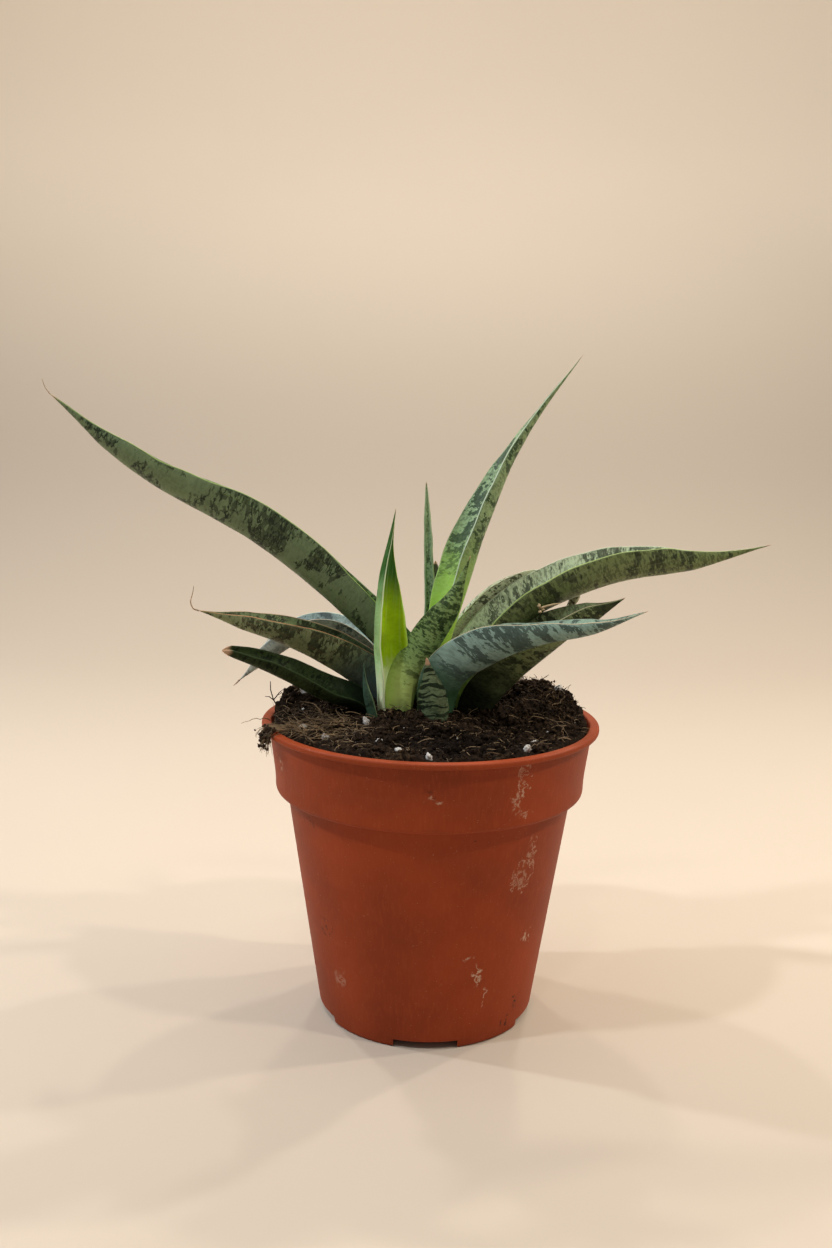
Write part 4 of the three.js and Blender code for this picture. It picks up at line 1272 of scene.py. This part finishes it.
def rim_tuft(draw, material, crumb_material):
    """Tuft of roots and crumbs that hangs over the rim at the left."""
    strands = Strands(sides=3)
    corners, faces = [], []
    for _ in range(90):
        turn = math.radians(draw.gauss(TUFT_ANGLE, 3.0))
        way = Vector((math.cos(turn), math.sin(turn), 0))
        along = Vector((-way.y, way.x, 0))
        drop = draw.uniform(0.5, 6.0)
        out = 60.4 + draw.uniform(0.1, 2.6)
        shift = along * draw.gauss(0, 1.8)
        start = way * draw.uniform(50, 55) + Vector((0, 0, 107.2 + draw.uniform(0, 1.2)))
        over = way * 59.5 + Vector((0, 0, 107.6 + draw.uniform(0.1, 1.4)))
        end = way * out + shift + Vector((0, 0, 106.5 - drop))
        line = [start, start.lerp(over, 0.5), over, over.lerp(end, 0.4) + way * 0.9, end]
        line.append(end + shift.normalized() * draw.uniform(0, 1.5) + Vector((0, 0, -0.8)))
        strands.add(line, draw.uniform(0.08, 0.16))
        if draw.random() < 0.75:
            place = over.lerp(end, draw.random()) + 0.5 * way
            add_grain(corners, faces, place, draw.uniform(0.6, 1.7), draw, 2, 0.9)
    settle(strands.piece("rim_tuft_roots", material), "peat")
    settle(new_piece("rim_tuft_crumbs", corners, faces, crumb_material), "peat")


LOOSE_FIBRES = (            # start, end and height of the bow, in millimetres
    ((-39, -27, 109.5), (-33, -41, 107.8), 1.5),
    ((-36, -37, 108.2), (-12, -33, 109.5), 1.2),
    ((40, -17, 112.0), (46, -30, 108.5), 1.2),
    ((31, -44, 108.0), (39, -38, 108.5), 1.0),
    ((-8, -46, 107.3), (-7, -49, 110.5), 0.3),
    ((44, -32, 107.5), (43, -33, 112.0), 0.3),
    ((-56, -8, 107.5), (-66, -13, 107.0), 0.8),
)


def loose_fibres(draw, material):
    strands = Strands(sides=4)
    for start, end, bow in LOOSE_FIBRES:
        points = []
        for k in range(9):
            t = k / 8
            here = Vector(start).lerp(Vector(end), t)
            here.z += bow * math.sin(math.pi * t)
            here += 0.25 * Vector((draw.gauss(0, 1), draw.gauss(0, 1), draw.gauss(0, 1)))
            points.append(here)
        strands.add(points, 0.14, 0.08)
    settle(strands.piece("loose_fibres", material), "peat")


def twig(draw, material):
    """Small dark twig that stands at the left of the rim."""
    strands = Strands(sides=5)
    foot, fork, top = Vector((-54, 3, 106)), Vector((-56.5, 2, 112)), Vector((-57.5, 1, 119))
    strands.add([foot, foot.lerp(fork, 0.5) + Vector((0.4, 0, 0)), fork,
                 fork.lerp(top, 0.5) + Vector((-0.5, 0, 0.3)), top], 0.32, 0.16)
    for tip in ((-52.5, 1, 116.5), (-59.5, 1, 113.5), (-53.8, 4, 114.2)):
        strands.add([fork, fork.lerp(Vector(tip), 0.5) + Vector((0, 0, 0.5)), Vector(tip)],
                    0.22, 0.1)
    settle(strands.piece("twig", material), "peat")


# Leaves

TIP_END = 0.08              # how wide a tapered tip ends, as a part of its width
POINTED_PART = 0.15         # the part of a leaf's length that narrows to its point
POINT_CURVE = 0.62          # 1 narrows in straight lines, less is rounder


def carried_frames(leaf, t):
    """Rib points, tangents and the unturned opening direction at each t."""
    path = np.asarray(leaf["path"], dtype=float)
    rib = smooth_row(path, t)
    ahead = smooth_row(path, t + 1e-4) - smooth_row(path, t - 1e-4)
    tangents = ahead / np.linalg.norm(ahead, axis=1)[:, None]
    facing = math.radians(leaf["faces"])
    opening = np.array([math.cos(facing), math.sin(facing), 0.0])
    openings = []
    for tangent in tangents:
        opening = opening - tangent * opening.dot(tangent)
        opening = opening / np.linalg.norm(opening)
        openings.append(opening)
    return rib, tangents, np.array(openings)


def leaf_stations(leaf, count):
    """Frames and section sizes along a leaf."""
    t = np.linspace(0, 1, count)
    rib, tangents, openings = carried_frames(leaf, t)
    roll = np.radians(smooth_row(leaf["roll"], t)[:, 0])[:, None]
    side_way = np.cross(tangents, openings)
    inward = openings * np.cos(roll) + side_way * np.sin(roll)
    across = np.cross(tangents, inward)
    width = np.maximum(smooth_row(leaf["width"], t)[:, 0], 1.0)
    depth = np.maximum(smooth_row(leaf["depth"], t)[:, 0], 0.3)
    look = LOOKS[leaf["look"]]
    point = look.get("point", POINTED_PART)
    near_tip = np.clip((t - 1 + point) / point, 0, 1)
    taper = TIP_END + (1 - TIP_END) * (1 - near_tip) ** look.get("sharp", POINT_CURVE)
    length = np.concatenate([[0], np.cumsum(np.linalg.norm(np.diff(rib, axis=0), axis=1))])
    return t, rib, inward, across, width * taper, depth * taper, taper, length


def section_layout(across):
    """Places round one section: side from -1 to 1, which face, and how far round the margin."""
    sides = np.sin(np.linspace(-0.5, 0.5, across) * math.pi)
    rows = [(s, 1.0, 0.0) for s in sides]
    rows += [(1.0, 0.75, 0.7), (1.0, 0.5, 1.0), (1.0, 0.25, 0.7)]
    rows += [(s, 0.0, 0.0) for s in sides[::-1]]
    rows += [(-1.0, 0.25, 0.7), (-1.0, 0.5, 1.0), (-1.0, 0.75, 0.7)]
    return rows


def leaf_mesh(name, leaf, settings, material, seed):
    t, rib, inward, across, width, depth, taper, length = leaf_stations(leaf, settings.sections)
    layout = section_layout(settings.across)
    corners, data, uvs = [], [], []
    wave = settings.wave / MM
    for k in range(len(t)):
        middle = min(leaf["thick"], THICKEST_PART_OF_WIDTH * width[k] + 0.3 * taper[k])
        margin = min(MARGIN_THICKNESS * max(taper[k], 0.3), middle)
        half_width = width[k] / 2 / math.sin(CHANNEL_ARC)
        full_depth = depth[k] / (1 - math.cos(CHANNEL_ARC))
        for side, face, round_margin in layout:
            angle = CHANNEL_ARC * side
            slope = Vector((half_width * math.cos(angle), full_depth * math.sin(angle)))
            slope.normalize()
            bulge = max(math.cos(math.pi / 2 * side), 0) ** MARGIN_ROUNDING
            half = (margin + (middle - margin) * bulge) / 2
            offset = half * (2 * face - 1) * (1.4 if 0 < face < 1 else 1.0)
            out = math.copysign(1, side) * half * 0.9 * round_margin
            u = half_width * math.sin(angle) - slope.y * offset + slope.x * out
            v = full_depth * (1 - math.cos(angle)) + slope.x * offset + slope.y * out
            uneven = noise.noise(Vector((0.09 * length[k], 1.3 * side, seed)))
            v += wave * uneven * (0.4 + side * side) * taper[k] * 2
            u += wave * noise.noise(Vector((0.2 * length[k], 5 + side, seed))) * side * taper[k]
            corners.append(rib[k] + across[k] * u + inward[k] * v)
            data.append((t[k], (side + 1) / 2, face, 1.0))
            uvs.append((side * width[k] * 0.6 / 100, length[k] / 100))
    return close_leaf(name, corners, data, uvs, len(layout), len(t), material)


def close_leaf(name, corners, data, uvs, around, count, material):
    """Faces of a leaf from its rings, with both ends closed, and its surface data."""
    at = lambda k, j: k * around + j % around
    faces = [(at(k, j), at(k, j + 1), at(k + 1, j + 1), at(k + 1, j))
             for k in range(count - 1) for j in range(around)]
    for k, flip in ((0, True), (count - 1, False)):
        ring = np.array(corners[k * around:(k + 1) * around])
        middle = len(corners)
        corners.append(ring.mean(axis=0))
        data.append(data[k * around])
        uvs.append(uvs[k * around + around // 2])
        for j in range(around):
            pair = (at(k, j + 1), at(k, j)) if flip else (at(k, j), at(k, j + 1))
            faces.append((*pair, middle))
    piece = new_piece(name, corners, faces, material)
    mesh = piece.data
    layer = mesh.uv_layers.new(name="leaf_mm")
    order = np.empty(len(mesh.loops), dtype=int)
    mesh.loops.foreach_get("vertex_index", order)
    layer.data.foreach_set("uv", np.asarray(uvs)[order].ravel())
    colours = mesh.color_attributes.new("leaf", "FLOAT_COLOR", "POINT")
    colours.data.foreach_set("color", np.asarray(data, dtype=float).ravel())
    turn_outward(mesh)
    return piece


def turn_outward(mesh):
    """Flips a closed mesh whose faces point in, and keeps its vertex order."""
    shape = bmesh.new()
    shape.from_mesh(mesh)
    if shape.calc_volume(signed=True) < 0:
        bmesh.ops.reverse_faces(shape, faces=shape.faces)
    shape.to_mesh(mesh)
    shape.free()


class PLANT_OT_leaves(bpy.types.Operator):
    """Makes every leaf, with its own finish"""
    bl_idname = "plant.leaves"
    bl_label = "Make Leaves"

    def execute(self, context):
        settings = context.scene.plant_leaves
        for i, (node, leaf) in enumerate(LEAVES.items()):
            look = LOOKS[leaf["look"]]
            seed = 13.7 * (i + 1)
            material = leaf_material(node + "_skin", look, seed, settings)
            piece = leaf_mesh("look_" + node, leaf, settings, material, seed)
            settle(piece, look["slot"], node)
        return {"FINISHED"}


WHISKERS = (                # points of each dry thread, in millimetres, and its radius
    (((-126.8, -20, 218.3), (-128.3, -20.3, 220.5), (-129.2, -20.5, 223.2)), 0.16),
    (((-80.3, -13, 146.4), (-82.2, -13.2, 147.2), (-83.0, -13.4, 149.6),
      (-82.3, -13.5, 152.2), (-81.8, -13.5, 155.0)), 0.30),
    (((-70.3, 13, 116.8), (-71.6, 12.8, 115.4), (-72.6, 12.7, 114.6)), 0.35),
)
STRAW = (((37.5, -1, 147.5), (41.5, -2, 149.0), (44.8, -2.4, 149.7)), 0.5)
STRAW_BITS = ((37.3, -1.4, 148.6, 1.6), (37.8, -1.8, 146.4, 1.4), (38.9, -1.6, 147.2, 1.0))


class PLANT_OT_dry_bits(bpy.types.Operator):
    """Makes the dry threads at the leaves' tips and the sliver of straw on a leaf"""
    bl_idname = "plant.dry_bits"
    bl_label = "Make Dry Bits"

    def execute(self, context):
        draw = random.Random(3)
        brown = fibre_material("dry_thread", DRY)
        threads = Strands(sides=6)
        for points, radius in WHISKERS:
            rows = smooth_row(points, np.linspace(0, 1, 14))
            threads.add([Vector(row) for row in rows], radius, 0.08)
        settle(threads.piece("dry_threads", brown), "leaf_green")
        straw = Strands(sides=5)
        rows = smooth_row(STRAW[0], np.linspace(0, 1, 8))
        straw.add([Vector(row) for row in rows], STRAW[1], 0.2)
        straw_material = fibre_material("straw", (0.55, 0.40, 0.22), shade=0.7)
        settle(straw.piece("straw_sliver", straw_material), "peat")
        corners, faces = [], []
        for x, y, z, size in STRAW_BITS:
            add_grain(corners, faces, (x, y, z), size, draw, 2, 0.8)
        settle(new_piece("straw_bits", corners, faces, straw_material), "peat")
        return {"FINISHED"}


# Stage

def backdrop_material(floor_colour, wall_colour):
    """Matte paper with painted light: darker far back on the floor as painted shade, and paler up the
    wall as painted light.
    """
    material, n = new_material("backdrop")
    here = n.add("ShaderNodeTexCoord").outputs["Object"]
    _, depth, height = n.split(here)
    darker, far_painted_shade = (tuple(share * part for part in floor_colour) for share in (0.95, 0.83))
    tone = n.step(n.noise(here, 2.2, 3.0, 0.5), 0.3, 0.7)
    floor = n.mix(tone, tuple(floor_colour), darker)
    # Painted shade: the floor darkens towards the back
    floor = n.mix(n.step(depth, 0.05, 0.60), floor, far_painted_shade)
    # Painted light: the colour grows paler up the wall
    colour = n.mix(n.step(height, 0.12, 0.62), floor, tuple(wall_colour))
    finish_material(n, colour, 0.85, Specular_IOR_Level=0.25)
    return material


def backdrop_shape():
    """Floor that curves up into a wall, as one sheet."""
    half, front, back, bend, top = 4.0, -3.0, 1.5, 0.9, 4.0
    profile = [(front, 0.0), (back - bend, 0.0)]
    steps = 24
    for k in range(1, steps + 1):
        angle = math.pi / 2 * k / steps
        profile.append((back - bend + bend * math.sin(angle), bend * (1 - math.cos(angle))))
    profile.append((back, top))
    corners = [(x / MM, y / MM, z / MM) for y, z in profile for x in (-half, half)]
    faces = [(2 * k, 2 * k + 1, 2 * k + 3, 2 * k + 2) for k in range(len(profile) - 1)]
    return corners, faces


def place_camera():
    c = CAMERA
    pitch, roll = math.radians(c["pitch"]), math.radians(c["roll"])
    forward = Vector((0, math.cos(pitch), -math.sin(pitch)))
    level_up = Vector((0, math.sin(pitch), math.cos(pitch)))
    right = math.cos(roll) * Vector((1, 0, 0)) + math.sin(roll) * level_up
    up = -math.sin(roll) * Vector((1, 0, 0)) + math.cos(roll) * level_up
    data = bpy.data.cameras.new("camera")
    data.sensor_width = c["sensor_mm"]
    data.lens = c["focal_px"] / c["image_height_px"] * c["sensor_mm"]
    data.clip_start = 0.01
    camera = bpy.data.objects.new("camera", data)
    turn = Matrix((right, up, -forward)).transposed().to_4x4()
    camera.matrix_world = Matrix.Translation(MM * Vector(c["place"])) @ turn
    bpy.context.scene.collection.objects.link(camera)
    bpy.context.scene.camera = camera


def place_lamp(name, place, aim, size, watts, warmth):
    data = bpy.data.lights.new(name, "AREA")
    data.shape = "DISK"
    data.size = size
    data.energy = watts
    data.color = (1.0, 0.97 - 0.20 * warmth, 0.93 - 0.5 * warmth)
    lamp = bpy.data.objects.new(name, data)
    lamp.location = place
    lamp.rotation_euler = (Vector(aim) - Vector(place)).to_track_quat("-Z", "Y").to_euler()
    bpy.context.scene.collection.objects.link(lamp)


def place_lamps(settings):
    for name, azimuth, height, distance, size, watts, warmth in LAMPS:
        angle = math.radians(azimuth)
        place = (distance * math.cos(angle), distance * math.sin(angle), height)
        place_lamp(name, place, (0, 0, 0.08), size, watts * settings.light, warmth)
    wall = WALL_LAMP
    place_lamp("lamp_wall", wall["place"], wall["aim"], wall["size"],
               wall["watts"] * settings.light, 0.0)


class PLANT_OT_stage(bpy.types.Operator):
    """Makes the pale floor and backdrop, the lamps and the camera"""
    bl_idname = "plant.stage"
    bl_label = "Make Stage"

    def execute(self, context):
        settings = context.scene.plant_stage
        paper = backdrop_material(settings.floor_colour, settings.wall_colour)
        floor = new_piece("backdrop", *backdrop_shape(), paper)
        world = bpy.data.worlds.new("studio")
        world.use_nodes = True
        sky = world.node_tree.nodes["Background"]
        sky.inputs["Color"].default_value = (1.0, 0.975, 0.94, 1.0)
        sky.inputs["Strength"].default_value = settings.fill
        context.scene.world = world
        context.scene.view_settings.view_transform = "Standard"
        place_lamps(settings)
        place_camera()
        return {"FINISHED"}


# Panel and registration

OPERATORS = (
    PLANT_OT_stage, PLANT_OT_pot, PLANT_OT_soil, PLANT_OT_perlite, PLANT_OT_rhizome,
    PLANT_OT_roots, PLANT_OT_leaves, PLANT_OT_dry_bits,
)
SETTINGS = {
    "plant_pot": PlantPotSettings, "plant_soil": PlantSoilSettings,
    "plant_leaves": PlantLeafSettings, "plant_stage": PlantStageSettings,
}


class VIEW3D_PT_plant(bpy.types.Panel):
    """Lists the settings and the operators of the plant"""
    bl_label = "Potted Snake Plant"
    bl_idname = "VIEW3D_PT_plant"
    bl_space_type = "VIEW_3D"
    bl_region_type = "UI"
    bl_category = "Plant"

    def draw(self, context):
        for name, group in SETTINGS.items():
            box = self.layout.box()
            for prop in group.__annotations__:
                box.prop(getattr(context.scene, name), prop)
        for operator in OPERATORS:
            self.layout.operator(operator.bl_idname)


def register():
    for cls in (*SETTINGS.values(), *OPERATORS, VIEW3D_PT_plant):
        bpy.utils.register_class(cls)
    for name, group in SETTINGS.items():
        setattr(bpy.types.Scene, name, PointerProperty(type=group))


def unregister():
    for name in SETTINGS:
        delattr(bpy.types.Scene, name)
    for cls in reversed((*SETTINGS.values(), *OPERATORS, VIEW3D_PT_plant)):
        bpy.utils.unregister_class(cls)


def main():
    register()
    bpy.ops.plant.stage()
    bpy.ops.plant.pot()
    bpy.ops.plant.soil()
    bpy.ops.plant.perlite()
    bpy.ops.plant.rhizome()
    bpy.ops.plant.roots()
    bpy.ops.plant.leaves()
    bpy.ops.plant.dry_bits()


if __name__ == "__main__":
    main()
